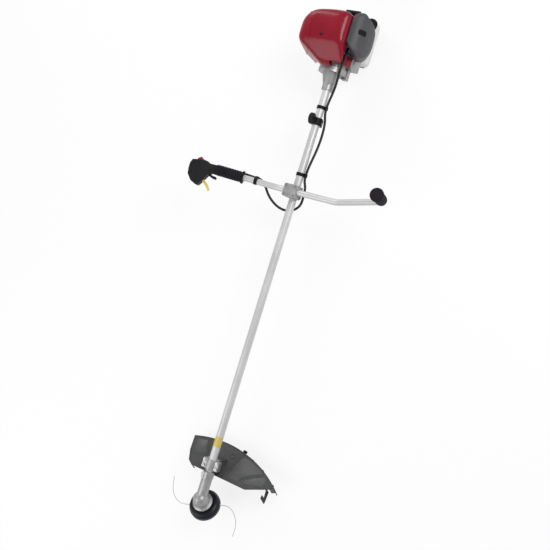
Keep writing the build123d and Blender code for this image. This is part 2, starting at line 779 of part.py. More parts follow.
def grip(length, flange_at_end):
    """A ribbed rubber sleeve from the local origin up."""
    sleeve = Cylinder(grip_radius, length, align=(Align.CENTER, Align.CENTER, Align.MIN))
    rib_step = (length - 3 * grip_flange_width) / grip_rib_count
    for index in range(grip_rib_count):
        rib = Cylinder(grip_radius + grip_rib, rib_step / 2)
        sleeve += Pos(0, 0, 2 * grip_flange_width + (index + 0.5) * rib_step) * rib
    flange = Cylinder(grip_flange, grip_flange_width, align=(Align.CENTER, Align.CENTER, Align.MIN))
    flange_start = length - grip_flange_width if flange_at_end else 0
    sleeve += Pos(0, 0, flange_start) * fillet(flange.edges(), 2)
    return sleeve


right_frame = bar_frame(right_end, right_direction)
right_grip_start = grip_start - right_length
right_grip_solid = Pos(0, 0, right_grip_start) * grip(grip_length, False)
right_bore = Cylinder(seat(bar_radius), 2 * right_length)
parts["right_grip"] = right_frame * (right_grip_solid - right_bore)
left_frame = bar_frame(left_end, grip_direction)
grip_cap = 5.0
left_grip_solid = Pos(0, 0, grip_cap - left_grip_length) * grip(left_grip_length, True)
left_bore = Cylinder(seat(bar_radius), 2 * left_grip_length, align=(Align.CENTER, Align.CENTER, Align.MAX))
parts["left_grip"] = left_frame * (left_grip_solid - Pos(0, 0, seat_gap) * left_bore)

# ---------- throttle case ----------
# Local X is straight ahead, Z runs outwards along the bar from the grip, and Y is the case's thickness.
case_frame = bar_frame(right_end, right_direction) * Pos(0, 0, case_start - right_length + seat_gap)
case_outline = [
    (-15, 0), (-14, 28), (-20, 36), (-19, 66), (-13, 92), (2, 98), (21, 98), (42, 95), (63, 78),
    (72, 58), (72, 49), (50, 35), (32, 25), (18, 12), (17, 0),
]


def case_slab(outline, low, high):
    """A slab with its outline in the case's XZ plane, between two places through its thickness."""
    face = Plane.XZ * make_face(Polyline(*outline, close=True))
    return Pos(0, high, 0) * extrude(face, high - low)


case_body = case_slab(case_outline, -case_half, case_half)
side_edges = case_body.edges().filter_by(GeomType.LINE).group_by(Axis.Y)
case_body = fillet(side_edges[-1] + side_edges[0], 4)
hollow_outline = offset(make_face(Polyline(*case_outline, close=True)), amount=-case_wall * 1.6)
case_inside = case_half - case_wall
case_hollow = Pos(0, case_inside, 0) * extrude(Plane.XZ * hollow_outline, 2 * case_inside)
case_shell = case_body - case_hollow
case_collar = Cylinder(bar_radius + 4, bar_in_case + 4, align=(Align.CENTER, Align.CENTER, Align.MIN))
case_shell += case_collar
case_shell -= Cylinder(seat(bar_radius), 2 * (bar_in_case + 1))

half_size = (right_length, right_length, right_length)
upper_half = Box(*half_size, align=(Align.CENTER, Align.MIN, Align.CENTER))
lower_half = Box(*half_size, align=(Align.CENTER, Align.MAX, Align.CENTER))
pivot_x, pivot_z = trigger_pivot
trigger_slot = Pos(pivot_x + 4, 0, pivot_z - 12) * Box(36, trigger_thickness + 2 * run_gap, 30)
lever_x, lever_z = lever_pivot
lever_slot = Pos(lever_x + 6, 0, lever_z - 8) * Box(26, lever_thickness + 2 * run_gap, 30)
switch_x, switch_z = switch_pivot
switch_slot = Pos(switch_x - 6, 0, switch_z) * Box(16, switch_width + 2 * run_gap, switch_length + 6)
case_shell = case_shell - trigger_slot - lever_slot - switch_slot


def cross_pin(x, z, radius):
    """A pin through the case's thickness."""
    return Pos(x, 0, z) * Rot(90, 0, 0) * Cylinder(radius, 2 * (case_half - case_wall))


pins = cross_pin(pivot_x, pivot_z, trigger_pin_radius) + cross_pin(lever_x, lever_z, trigger_pin_radius)
pins += cross_pin(switch_x, switch_z, trigger_pin_radius)
upper_shell = case_shell & upper_half
for x, z in (trigger_pivot, lever_pivot, switch_pivot):
    upper_shell -= cross_pin(x, z, seat(trigger_pin_radius))
lower_shell = (case_shell & lower_half) + (pins & lower_half) + pins
case_screws = [case_frame * Pos(x, case_half, z) * Rot(-90, 0, 0) for x, z in ((60, 62), (30, 90), (4, 24))]
for x, z in ((60, 62), (30, 90), (4, 24)):
    post = Pos(x, 0, z) * Rot(90, 0, 0) * Cylinder(screw_radius + 2.5, 2 * case_half - case_wall)
    upper_shell += post & upper_half & case_body
    lower_shell += post & lower_half & case_body
upper_case = case_frame * upper_shell
for location in case_screws:
    upper_case -= location * screw_hole()
parts["throttle_case_upper"] = upper_case
parts["throttle_case_lower"] = case_frame * lower_shell

trigger_outline = [
    (38, 47), (44, 37), (50, 27), (58, 17), (68, 9), (78, 3), (83, 9), (74, 15), (65, 24), (57, 35),
    (52, 46), (47, 51), (40, 51),
]
trigger = case_slab(trigger_outline, -trigger_thickness / 2, trigger_thickness / 2)
trigger -= cross_pin(pivot_x, pivot_z, trigger_pin_radius + run_gap)
parts["throttle_trigger"] = case_frame * trigger
lever_outline = [
    (16, 19), (17, 14), (23, 14), (25, 4), (26, -6), (31, -11), (36, -7), (35, 4), (31, 14), (26, 22),
    (22, 25), (17, 24),
]
lever = case_slab(lever_outline, -lever_thickness / 2, lever_thickness / 2)
lever -= cross_pin(lever_x, lever_z, trigger_pin_radius + run_gap)
parts["lockout_lever"] = case_frame * lever
half_switch = switch_length / 2
switch_outline = [
    (switch_x + 4, switch_z - half_switch + 4), (switch_x - 3, switch_z - half_switch),
    (switch_x - 8, switch_z - half_switch + 1), (switch_x - 9, switch_z - 5), (switch_x - 16, switch_z + 3),
    (switch_x - 8, switch_z + half_switch - 1), (switch_x - 3, switch_z + half_switch),
    (switch_x + 4, switch_z + half_switch - 4),
]
switch = case_slab(switch_outline, -switch_width / 2, switch_width / 2)
switch -= cross_pin(switch_x, switch_z, trigger_pin_radius + run_gap)
parts["stop_switch"] = case_frame * switch

coil_radius = trigger_pin_radius + 2.2
coil_pitch = 2.2
coil_turns = 3
coil_path = Helix(coil_pitch, coil_pitch * coil_turns, coil_radius)
coil = sweep(Plane(coil_path @ 0, z_dir=coil_path % 0) * Circle(0.7), path=coil_path)
coil_start = trigger_thickness / 2 + 1
parts["trigger_spring"] = case_frame * Pos(pivot_x, coil_start, pivot_z) * Rot(-90, 0, 0) * coil

# ---------- throttle cable and its ties ----------
bar_down = Vector(0, -rise_sine, -rise_cosine)


def beside_bar(along, rear, down):
    """A point beside the right arm, at a distance along the bar from the clamp."""
    on_axis = right_corner + right_direction * (along - right_flat)
    return on_axis + Vector(-rear, 0, 0) + bar_down * down


tie_down, tie_rear = 11.5, 13.5
bar_tie = grip_start - 46
front_tie, rear_tie = bar_place + 68, hanger_place + 52
tie_side, tie_height = 19.6, -2.0
carburettor_front = cylinder_place - carburettor_length / 2
cable_points = [
    beside_bar(grip_start - 1.5, 15, 8), beside_bar(bar_tie + 18, tie_rear, tie_down),
    beside_bar(bar_tie - 18, tie_rear, tie_down), place(bar_place - 8, -right_flat - 48, 23),
    place(bar_place - 30, -right_flat - 35, 16), place(bar_place - 50, -right_flat - 17, 2),
    place(bar_place - 64, 5 - right_flat, -14), place(bar_place - 68, -30, -25),
    place(bar_place - 62, -6, -29), place(bar_place - 49, 15, -23), place(bar_place - 32, 32, -10),
    place(bar_place - 4, 35, -3), place(bar_place + 26, 33, -2), place(front_tie - 16, tie_side, tie_height),
    place(front_tie + 16, tie_side, tie_height), place(front_tie + 54, 23, -5),
    place(hanger_place - 100, 30, -6), place(hanger_place - 50, 34, -5), place(hanger_place, 32, -3),
    place(rear_tie - 17, tie_side, tie_height), place(rear_tie + 17, tie_side, tie_height),
    place(bell_neck_start - 10, 26, -1), place(bell_neck_start + 28, 33, 6),
    place(bell_flange_start - 1, 44, 34), place(bell_end - 6, 55, 52), place(carburettor_front - 29, 64, 58),
    place(carburettor_front - 1.5, 60, 56),
]
cable_corners = run_radii(cable_points)
cable_route = FilletPolyline(*cable_points, radius=cable_corners)
parts["throttle_cable"] = swept(cable_route, cable_radius)


def tie(round_radius, cable_at):
    """A moulded tie about local Z that holds the cable beside a round bar."""
    offset_length = cable_at.length
    turn = math.degrees(math.atan2(cable_at.Y, cable_at.X))
    band = Cylinder(seat(round_radius) + tie_wall, tie_width)
    loop = Pos(offset_length, 0, 0) * Cylinder(cable_radius + run_gap + tie_wall, tie_width)
    bridge = Pos(offset_length / 2, 0, 0) * Box(offset_length, 2 * cable_radius, tie_width)
    solid = band + loop + bridge - Cylinder(seat(round_radius), 2 * tie_width)
    solid -= Pos(offset_length, 0, 0) * Cylinder(cable_radius + run_gap, 2 * tie_width)
    return Rot(0, 0, turn) * solid


bar_tie_frame = Plane(origin=beside_bar(bar_tie, 0, 0), x_dir=(-1, 0, 0), z_dir=right_direction)
tie_down_sign = bar_tie_frame.y_dir.dot(bar_down)
ties = [bar_tie_frame * tie(bar_radius, Vector(tie_rear, tie_down * tie_down_sign))]
for distance in (front_tie, rear_tie):
    tie_frame = Plane(origin=place(distance), x_dir=(0, 1, 0), z_dir=(1, 0, 0))
    ties.append(tie_frame * tie(tube_radius, Vector(tie_side, tie_height)))
parts["cable_ties"] = Compound(ties)

# ---------- harness hanger ----------
hanger_front = hanger_place - hanger_width / 2
hanger_rear = hanger_place + hanger_width / 2
hanger_radius = tube_radius + hanger_wall
hanger = rod(hanger_radius, hanger_front, hanger_rear)
ear_half = clamp_ear_width / 2
hanger += block(hanger_front, hanger_rear, -ear_half, ear_half, -hanger_radius - 10, 0)
eye_turn = Pos(place(hanger_place, 0, eye_height)) * Rot(90, 0, 0)
hanger += eye_turn * Cylinder(eye_radius, eye_thickness)
eye_half = eye_thickness / 2
hanger += block(hanger_place - 12, hanger_place + 12, -eye_half, eye_half, 0, eye_height)
hanger -= rod(seat(tube_radius), hanger_front, hanger_rear)
hanger -= eye_turn * Cylinder(eye_bore, 2 * eye_thickness)
hanger -= block(hanger_front, hanger_rear, -clamp_slit / 2, clamp_slit / 2, -hanger_radius - 10, 0)
parts["hanger_clamp"] = with_bolt_holes(hanger, hanger_bolts)

# ---------- clutch housing, drum and shoes ----------
bell = turned_on_tube([
    (bell_neck_start, 0), (bell_neck_start, bell_neck_radius), (bell_widening, bell_neck_radius),
    (bell_flange_start, bell_cone_radius), (bell_flange_start, bell_radius), (bell_flange_end, bell_radius),
    (bell_flange_end + 3, drum_radius + 7), (bell_end, drum_radius + 7), (bell_end, 0),
])
bell += block(bell_flange_start - 7, bell_end, 30, 50, -40, -20)
ear_low = -(bell_neck_radius + 8)
bell += block(bell_neck_start, bell_neck_start + 32, -ear_half, ear_half, ear_low, 0)
bell -= rod(seat(tube_radius), bell_neck_start, tube_rear)
bearing_room = clutch_bearing_start + shaft_bearing_width + part_gap
bell -= rod(seat(shaft_bearing_radius), tube_rear, bearing_room)
bell -= rod(drum_hub_radius + 1, bearing_room, drum_start)
bell -= rod(drum_radius + 2, drum_start - 1, bell_end)
bell -= block(bell_neck_start, bell_neck_start + 36, -clamp_slit / 2, clamp_slit / 2, ear_low, 0)
parts["clutch_housing"] = with_bolt_holes(bell, bell_bolts)
drum = turned_on_tube([
    (bearing_room + 1, seat(shaft_radius)), (bearing_room + 1, drum_hub_radius),
    (drum_start, drum_hub_radius), (drum_start, drum_radius), (drum_end, drum_radius),
    (drum_end, drum_radius - drum_wall), (drum_start + drum_wall, drum_radius - drum_wall),
    (drum_start + drum_wall, seat(shaft_radius)),
])
parts["clutch_drum"] = drum
shoe_front = flywheel_start - 7 - shoe_thickness
shoe_rear = shoe_front + shoe_thickness
shoes = rod(shoe_radius, shoe_front, shoe_rear) - rod(shoe_bore, shoe_front, shoe_rear)
shoes -= block(shoe_front, shoe_rear, -shoe_slit / 2, shoe_slit / 2, -shoe_radius, shoe_radius)
post_place = (shoe_radius + shoe_bore) / 2
for side in (-post_place, post_place):
    shoes += rod(shoe_post, shoe_rear, flywheel_start, side)
parts["clutch_shoes"] = shoes

# ---------- crankshaft, flywheel and fan ----------
web_half = web_opening / 2
front_web = cylinder_place - web_half - web_thickness
rear_web = cylinder_place + web_half
crankshaft = rod(crank_radius, crank_front, front_web)
crankshaft += rod(crank_radius, rear_web + web_thickness, crank_rear)
crankshaft += rod(web_radius, front_web, front_web + web_thickness)
crankshaft += rod(web_radius, rear_web, rear_web + web_thickness)
parts["crankshaft"] = crankshaft
flywheel_rear = flywheel_start + flywheel_thickness
flywheel = rod(flywheel_radius, flywheel_start, flywheel_rear)
flywheel += rod(flywheel_hub, flywheel_rear, flywheel_rear + fan_height)
for index in range(fan_blades):
    blade = block(flywheel_rear, flywheel_rear + fan_height, 34, flywheel_radius - 1, -1.2, 1.2)
    flywheel += Rot(index * 360 / fan_blades, 0, 0) * blade
flywheel -= rod(seat(crank_radius), flywheel_start, flywheel_rear + fan_height)
parts["flywheel"] = flywheel

# ---------- fan case ----------
case_inner = fan_case_radius - fan_case_wall
fan_case = rod(fan_case_radius, bell_end, fan_case_end)
stay = block(bell_end, fan_case_end, 20, carburettor_side + carburettor_depth - 2, tank_top, -14)
stay_edges = stay.edges().filter_by(Axis.X)
stay = fillet(stay_edges.group_by(Axis.Z)[-1].sort_by(Axis.Y)[-1], 20)
fan_case += stay
fan_case -= rod(case_inner, bell_end + fan_case_wall, fan_case_end)
fan_case -= rod(drum_radius + 2, bell_end, bell_end + fan_case_wall)
parts["fan_case"] = fan_case

# ---------- crankcase ----------
case_front = fan_case_end
crankcase = rod(crankcase_radius, case_front, crankcase_rear)
crankcase += rod(plate_radius, case_front, case_front + case_plate)
crankcase += rod(plate_radius, crankcase_rear - case_plate, crankcase_rear)
for start in (case_front, crankcase_rear - case_plate):
    crankcase += block(start, start + case_plate, -40, 40, tank_top, 0)
deck_half = crankcase_radius - 8
deck_front, deck_rear = case_front + case_plate, crankcase_rear - case_plate
crankcase += block(deck_front, deck_rear, -deck_half, deck_half, 0, deck_height)
cavity_front = front_web - 2
cavity_rear = rear_web + web_thickness + 2
crankcase -= rod(crankcase_radius - crankcase_wall, cavity_front, cavity_rear)
crankcase -= rod(crank_radius + run_gap, case_front, crankcase_rear)
barrel_bore = bore / 2 + run_gap
upright = Pos(place(cylinder_place)) * Cylinder(
    barrel_bore, deck_height, align=(Align.CENTER, Align.CENTER, Align.MIN)
)
parts["crankcase"] = crankcase - upright


# ---------- cylinder ----------
def upright_rod(radius, low, high, along=0.0, side=0.0):
    """A vertical cylinder about the engine's cylinder axis."""
    middle = place(cylinder_place + along, side, (low + high) / 2)
    return Pos(middle) * Cylinder(radius, high - low)


cylinder = upright_rod(bore / 2 + barrel_wall, deck_height, barrel_top)
fin_step = (barrel_top - deck_height) / fin_count
for index in range(fin_count):
    fin_low = deck_height + (index + 0.5) * fin_step
    cylinder += upright_rod(fin_radius, fin_low, fin_low + fin_thickness)
head_half = bore / 2 + barrel_wall
cylinder += block(
    cylinder_place - head_half, cylinder_place + head_half, -head_half, head_half, barrel_top, cylinder_top
)
port_reach = carburettor_side
port_block = Pos(place(cylinder_place, 0, port_height)) * Rot(90, 0, 0)
cylinder += port_block * Cylinder(port_radius + 3, 2 * port_reach)
cylinder -= port_block * Cylinder(port_radius - 2, 2 * port_reach + 2)
cylinder -= upright_rod(barrel_bore, deck_height, barrel_top - 2)
plug_hole = Pos(place(cylinder_place, -head_half, plug_height)) * Rot(90, 0, 0)
cylinder -= plug_hole * Cylinder(seat(5), 24)
parts["cylinder"] = cylinder
plug = Cylinder(5, 12, align=(Align.CENTER, Align.CENTER, Align.MAX))
plug += Cylinder(8, 6, align=(Align.CENTER, Align.CENTER, Align.MIN))
plug += Pos(0, 0, 6) * Cylinder(6, 16, align=(Align.CENTER, Align.CENTER, Align.MIN))
parts["spark_plug"] = plug_hole * plug

# ---------- piston and connecting rod, at the top of the stroke ----------
crank_throw = stroke / 2
wrist_height = crank_throw + rod_length
piston = upright_rod(bore / 2, wrist_height - piston_skirt, wrist_height + piston_crown)
piston_inside = bore / 2 - piston_wall
piston -= upright_rod(piston_inside, wrist_height - piston_skirt, wrist_height + piston_crown - 5)
wrist_turn = Pos(place(cylinder_place, 0, wrist_height)) * Rot(0, 90, 0)
piston -= wrist_turn * Cylinder(seat(wrist_radius), bore)
parts["piston"] = piston
pin_turn = Pos(place(cylinder_place, 0, crank_throw)) * Rot(0, 90, 0)
connecting_rod = wrist_turn * Cylinder(wrist_radius + 4, rod_width)
connecting_rod += wrist_turn * Cylinder(wrist_radius, bore - 2 * run_gap - 3)
connecting_rod += pin_turn * Cylinder(pin_radius + 4, rod_width)
connecting_rod += pin_turn * Cylinder(pin_radius, web_opening - 2 * part_gap)
rod_half = rod_width / 2
connecting_rod += block(
    cylinder_place - rod_half + 2, cylinder_place + rod_half - 2,
    -rod_half, rod_half, crank_throw, wrist_height,
)
parts["connecting_rod"] = connecting_rod

# ---------- muffler, carburettor and air filter ----------
muffler_half = muffler_length / 2
muffler = block(
    cylinder_place - muffler_half, cylinder_place + muffler_half,
    muffler_side - muffler_depth, muffler_side, muffler_low, muffler_low + muffler_height,
)
muffler = fillet(muffler.edges(), 6)
pipe_length = -muffler_side - port_reach
pipe_middle = (muffler_side - port_reach) / 2
pipe_turn = Pos(place(cylinder_place, pipe_middle, port_height)) * Rot(90, 0, 0)
pipe = pipe_turn * Cylinder(port_radius, pipe_length)
outlet = Pos(place(cylinder_place + 18, muffler_side - muffler_depth, muffler_low + 12)) * Rot(90, 0, 0)
parts["muffler"] = muffler + pipe - outlet * Cylinder(5, 16)
carb_half = carburettor_length / 2
carb_low = port_height - 26
carburettor = block(
    cylinder_place - carb_half, cylinder_place + carb_half,
    carburettor_side, carburettor_side + carburettor_depth, carb_low, port_height + 12,
)
throat = Pos(place(cylinder_place, carburettor_side + carburettor_depth / 2, port_height)) * Rot(90, 0, 0)
carburettor -= throat * Cylinder(port_radius - 2, carburettor_depth + 1)
bulb_middle = place(cylinder_place, carburettor_side + carburettor_depth / 2, carb_low)
carburettor += Pos(bulb_middle) * Cylinder(9, 10)
parts["carburettor"] = carburettor

filter_side = carburettor_side + carburettor_depth
air_filter = block(
    cylinder_place - 14, cylinder_place + 70, filter_side, filter_side + air_filter_depth, 6, 80,
)
parts["air_filter"] = fillet(air_filter.edges().filter_by(Axis.Y), 10)

# ---------- engine covers ----------
cover_plane = Plane(
    origin=(0, 0, 0), x_dir=(-1, 0, 0),
    z_dir=(0, -math.sin(math.radians(view_lean)), -math.cos(math.radians(view_lean))),
)


def smooth_face(points):
    """A face whose every corner is an arc as large as its neighbours leave room for."""
    corners = [Vector(*point) for point in points]
    looped = corners[-1:] + corners + corners[:1]
    return make_face(FilletPolyline(*corners, radius=run_radii(looped), close=True))


def cover_form(leaning, along, across, inset):
    """The room within three outlines: seen along the lean, seen from the left and seen along the tube."""
    forward = [(-distance, height) for distance, height in along]
    seen_above = cover_plane * offset(smooth_face(leaning), amount=-inset)
    seen_left = Plane.XZ * offset(smooth_face(forward), amount=-inset)
    seen_behind = Pos(-cylinder_place, 0, 0) * (Plane.YZ * offset(smooth_face(across), amount=-inset))
    first, second, third = [extrude(face, 250, both=True) for face in (seen_above, seen_left, seen_behind)]
    return first & second & third


cover_outline = [
    (1592, 40), (1592, -46), (1605, -64), (1632, -105), (1652, -139), (1662, -148), (1680, -151),
    (1716, -152), (1738, -144), (1756, -128), (1768, -108), (1776, -60), (1778, -20), (1770, 12),
    (1752, 64), (1620, 64),
]
cover_side = [
    (cover_front, -20), (cover_front, 66), (1604, 88), (1668, 126), (1700, cover_top), (1756, cover_top),
    (1778, 118), (cover_rear, 84), (cover_rear, -20),
]
cover_profile = [
    (-112, -24), (-116, 70), (-116, 112), (-84, cover_top - 1), (-22, cover_top + 3), (40, cover_top - 1),
    (62, 122), (68, 100), (67, -24),
]
cover_views = (cover_outline, cover_side, cover_profile)
cover_low = 18.0
carburettor_top = 86.0
outer_cover = cover_form(*cover_views, 0)
top_cover = outer_cover - cover_form(*cover_views, cover_wall)
top_cover -= block(cover_front - 1, cover_rear + 1, -150, 100, -40, cover_low)
top_cover -= block(cover_front - 1, cover_rear + 1, 20, 100, -40, carburettor_top)
top_cover -= rod(fan_case_radius + 1, cover_front, cover_rear)
shroud_front = cover_front + 1
shroud = rod(fan_case_radius + 1 + cover_wall, shroud_front, fan_case_end)
shroud -= rod(fan_case_radius + 1, shroud_front, fan_case_end)
shroud &= block(shroud_front, fan_case_end - 10, 0, 100, 4, carburettor_top)
shroud -= block(shroud_front, shroud_front + 21, 20, 100, 4, carburettor_top)
parts["top_cover"] = top_cover + shroud

starter = turned_on_tube([
    (crankcase_rear, starter_radius - starter_wall), (crankcase_rear, starter_radius),
    (starter_rear - 14, starter_radius - 1), (starter_rear, starter_radius - 10), (starter_rear, 0),
    (starter_rear - starter_wall, 0), (starter_rear - starter_wall, starter_radius - 12),
    (starter_rear - 15, starter_radius - starter_wall - 1),
])
for index in range(12):
    slot = block(starter_rear - 8, starter_rear + 1, 18, 42, -2, 2)
    starter -= Rot(index * 30 + 15, 0, 0) * slot
rope_at = (starter_grip_side, starter_grip_height)
rope_hole = rod(rope_radius + part_gap, starter_rear - 10, starter_rear + 1, *rope_at)
guide = rod(7, starter_rear - starter_wall - 4, starter_rear, *rope_at)
parts["starter_cover"] = starter + guide - rope_hole
bar_turn = Pos(place(starter_rear + starter_grip_radius + part_gap, starter_grip_side, starter_grip_height))
handle = bar_turn * Rot(90, 0, 0) * Cylinder(starter_grip_radius, starter_grip_length)
handle = fillet(handle.edges(), 5)
rope_end = starter_rear + starter_grip_radius
handle += rod(rope_radius, rope_end - rope_length, rope_end, *rope_at)
parts["starter_grip"] = handle

air_outline = [
    (1640, 84), (1643, 59), (1664, 26), (1688, 8), (1733, 9), (1768, 14), (1784, 30), (1792, 46),
    (1779, 64), (1766, 92), (1750, 104), (1729, 108), (1702, 109), (1678, 107), (1657, 99),
]
air_profile = [
    (40, 106), (84, 106), (108, 90), (122, 60), (126, 20), (119, -12), (100, -25), (40, -25),
]
air_side = [
    (1640, -30), (1640, 50), (1652, 98), (1672, 108), (1760, 108), (1784, 96), (1794, 60), (1794, -30),
]
air_views = (air_outline, air_side, air_profile)
outer_air = cover_form(*air_views, 0)
air_cover = outer_air - cover_form(*air_views, air_wall)
air_cover -= block(0, 2 * cover_rear, 0, filter_side, -cover_rear, cover_rear)
filter_outside = filter_side + air_filter_depth
for along, height in ((10, 30), (55, 30), (10, 62), (50, 62)):
    post = Cylinder(air_post_radius, filter_outside, align=(Align.CENTER, Align.CENTER, Align.MIN))
    post = Pos(place(cylinder_place + along, filter_outside, height)) * Rot(-90, 0, 0) * post
    air_cover += post & outer_air
parts["air_cleaner_cover"] = air_cover

# ---------- choke lever ----------
choke_place = place(cylinder_place, carburettor_side + carburettor_depth / 2, port_height + 12 + part_gap)
choke = Pos(choke_place) * Cylinder(4, 4, align=(Align.CENTER, Align.CENTER, Align.MIN))
choke_arm = Box(choke_reach, 6, 3, align=(Align.MIN, Align.CENTER, Align.MIN))
parts["choke_lever"] = choke + Pos(choke_place + Vector(-4, 0, 1)) * choke_arm

# ---------- fuel tank, stand and cap ----------
tank_floor = foot_height - ground_drop
tank = block(tank_front, tank_rear, tank_right, tank_left, tank_floor, tank_top)
tank = fillet(tank.edges(), tank_corner)
tank_hollow = block(
    tank_front + tank_wall, tank_rear - tank_wall, tank_right + tank_wall, tank_left - tank_wall,
    tank_floor + tank_wall, tank_top - tank_wall,
)
tank_hollow = fillet(tank_hollow.edges(), tank_corner - tank_wall)
filler_frame = Pos(place(filler_place, filler_side, tank_top - 4)) * Rot(0, -20, 0) * Rot(-25, 0, 0)
filler = filler_frame * Cylinder(filler_radius, filler_height, align=(Align.CENTER, Align.CENTER, Align.MIN))
filler_bore = filler_frame * Pos(0, 0, -4) * Cylinder(
    filler_radius - tank_wall, filler_height + 8, align=(Align.CENTER, Align.CENTER, Align.MIN)
)
parts["fuel_tank"] = tank + filler - tank_hollow - filler_bore
cap_solid = Cylinder(fuel_cap_radius, fuel_cap_height, align=(Align.CENTER, Align.CENTER, Align.MIN))
cap_solid = fillet(cap_solid.edges().group_by(Axis.Z)[-1], 3)
for index in range(8):
    cap_solid -= Rot(0, 0, index * 45) * Pos(fuel_cap_radius + 2, 0, 6) * Cylinder(4, 12)
cap_skirt = 8.0
cap_solid -= Cylinder(filler_radius + run_gap, 2 * cap_skirt)
cap_frame = filler_frame * Pos(0, 0, filler_height - cap_skirt + part_gap)
parts["fuel_cap"] = cap_frame * cap_solid

foot_rear = tank_rear - 8
foot_front = fan_case_end + 4
left_foot = tank_left - foot_inset - foot_width
stand = block(foot_front, foot_rear, tank_right + 14, tank_left - foot_inset, tank_floor - 3, tank_floor)
for side in (tank_right + 12, left_foot):
    runner = block(foot_front, foot_rear, side, side + foot_width, -ground_drop, tank_floor)
    stand += fillet(runner.edges().group_by(Axis.Z)[0].filter_by(Axis.Y), 5)
parts["engine_stand"] = stand

# ---------- fasteners ----------
cover_side_place = cover_profile[1][0] + 1
cover_screw_places = [Location(place(cylinder_place - 8, -18, cover_top - 5))]
for along in (20, 50):
    cover_screw_places.append(Location(place(cylinder_place + along, cover_side_place, 50), (90, 0, 0)))
for location in cover_screw_places:
    parts["top_cover"] -= location * screw_hole()
parts["clamp_bolts"] = Compound([location * bolt() for location in bolt_places])
screw_places = skirt_screws + [knife_screw] + case_screws + cover_screw_places
parts["cover_screws"] = Compound([location * screw() for location in screw_places])

# ---------- place the machine on the ground and write the files ----------
trimmer_lines = ("trimmer_line_right", "trimmer_line_left")
bounds = Compound([shape for name, shape in parts.items() if name not in trimmer_lines]).bounding_box()
origin_shift = Pos(-bounds.center().X, -bounds.center().Y, -bounds.min.Z)
os.makedirs("parts", exist_ok=True)
for name, shape in parts.items():
    export_step(origin_shift * shape, f"parts/{name}.step")
print(len(parts), "nodes, origin moved by", origin_shift.position)
print("cable radii", [round(radius) for radius in cable_corners])
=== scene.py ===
import json
import math

import bpy
from mathutils import Matrix, Vector


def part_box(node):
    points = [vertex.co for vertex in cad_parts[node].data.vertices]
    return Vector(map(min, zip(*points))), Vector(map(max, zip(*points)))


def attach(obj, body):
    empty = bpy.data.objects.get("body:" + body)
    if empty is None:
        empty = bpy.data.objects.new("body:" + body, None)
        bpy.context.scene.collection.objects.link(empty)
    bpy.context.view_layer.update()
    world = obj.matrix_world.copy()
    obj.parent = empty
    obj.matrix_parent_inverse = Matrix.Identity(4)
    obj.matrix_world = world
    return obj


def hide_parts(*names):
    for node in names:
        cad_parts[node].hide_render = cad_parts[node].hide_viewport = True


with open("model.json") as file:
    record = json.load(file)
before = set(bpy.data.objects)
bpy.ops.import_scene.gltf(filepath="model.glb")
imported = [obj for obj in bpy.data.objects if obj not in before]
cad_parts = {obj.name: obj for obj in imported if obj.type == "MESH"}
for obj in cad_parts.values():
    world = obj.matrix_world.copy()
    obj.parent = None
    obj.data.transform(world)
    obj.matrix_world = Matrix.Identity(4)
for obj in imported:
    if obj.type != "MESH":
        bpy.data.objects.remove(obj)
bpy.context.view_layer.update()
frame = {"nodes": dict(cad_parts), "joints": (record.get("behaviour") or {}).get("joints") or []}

# ---------- the machine's own places, in millimetres ----------
MM = 0.001
HEAD_TILT = math.radians(30)
VIEW_LEAN = math.radians(27)
HEAD_TURN = Matrix.Rotation(-HEAD_TILT, 4, "Y")
joint_named = {joint["name"]: joint for joint in frame["joints"]}
spindle_point = Vector(joint_named["cutter_spin"]["pos_m"])
back_way = Vector((-1, 0, 0))
side_way = Vector((0, math.cos(VIEW_LEAN), -math.sin(VIEW_LEAN)))


def place(behind, left, up):
    """A point behind, to the left of and above the spindle's crossing with the tube."""
    return spindle_point + Vector((-behind, left, up)) * MM


def head_place(ahead, left, up):
    """A point ahead of, to the left of and above that crossing, in the directions of the tilted head."""
    cosine, sine = math.cos(HEAD_TILT), math.sin(HEAD_TILT)
    return spindle_point + Vector((ahead * cosine - up * sine, left, ahead * sine + up * cosine)) * MM


def in_machine(point):
    """How far a point lies behind, to the left of and above the same crossing."""
    offset = (point - spindle_point) / MM
    return -offset.x, offset.y, offset.z


# ---------- shader groups ----------
# A noise's detail and roughness, and the range of its values that is spread from 0 to 1.
CLOUD_NOISE = (4, 0.6)
CLOUD_COLOUR_RANGE = (0.42, 0.72)
CLOUD_GLOSS_RANGE = (0.3, 0.7)
GRAIN_NOISE = (3, 0.55)
GRAIN_DISTANCE = 0.0004
WEAR_NOISE = (3, 0.6)
WEAR_NOISE_SCALE = 160.0
WEAR_NOISE_RANGE = (0.35, 0.62)
WEAR_WIDTH = 0.0012
WEAR_SAMPLES = 4
WEAR_BEND_RANGE = (0.97, 0.80)      # cosine between the rounded and the true normal, off and on an edge
COAT_ROUGHNESS = 0.12


def new_group(name, inputs, outputs):
    """A shader node group with named number or colour sockets, and its own input and output nodes."""
    group = bpy.data.node_groups.new(name, "ShaderNodeTree")
    for label, kind, value in inputs:
        socket = group.interface.new_socket(name=label, in_out="INPUT", socket_type=kind)
        socket.default_value = value
    for label, kind in outputs:
        group.interface.new_socket(name=label, in_out="OUTPUT", socket_type=kind)
    return group, group.nodes.new("NodeGroupInput"), group.nodes.new("NodeGroupOutput")


def link(tree, source, target):
    tree.links.new(source, target)


def noise_at(tree, coordinates, scale_socket, detail, roughness):
    """The value of a noise whose scale comes from a socket."""
    noise = tree.nodes.new("ShaderNodeTexNoise")
    noise.inputs["Detail"].default_value = detail
    noise.inputs["Roughness"].default_value = roughness
    link(tree, coordinates, noise.inputs["Vector"])
    link(tree, scale_socket, noise.inputs["Scale"])
    return noise.outputs["Fac"]


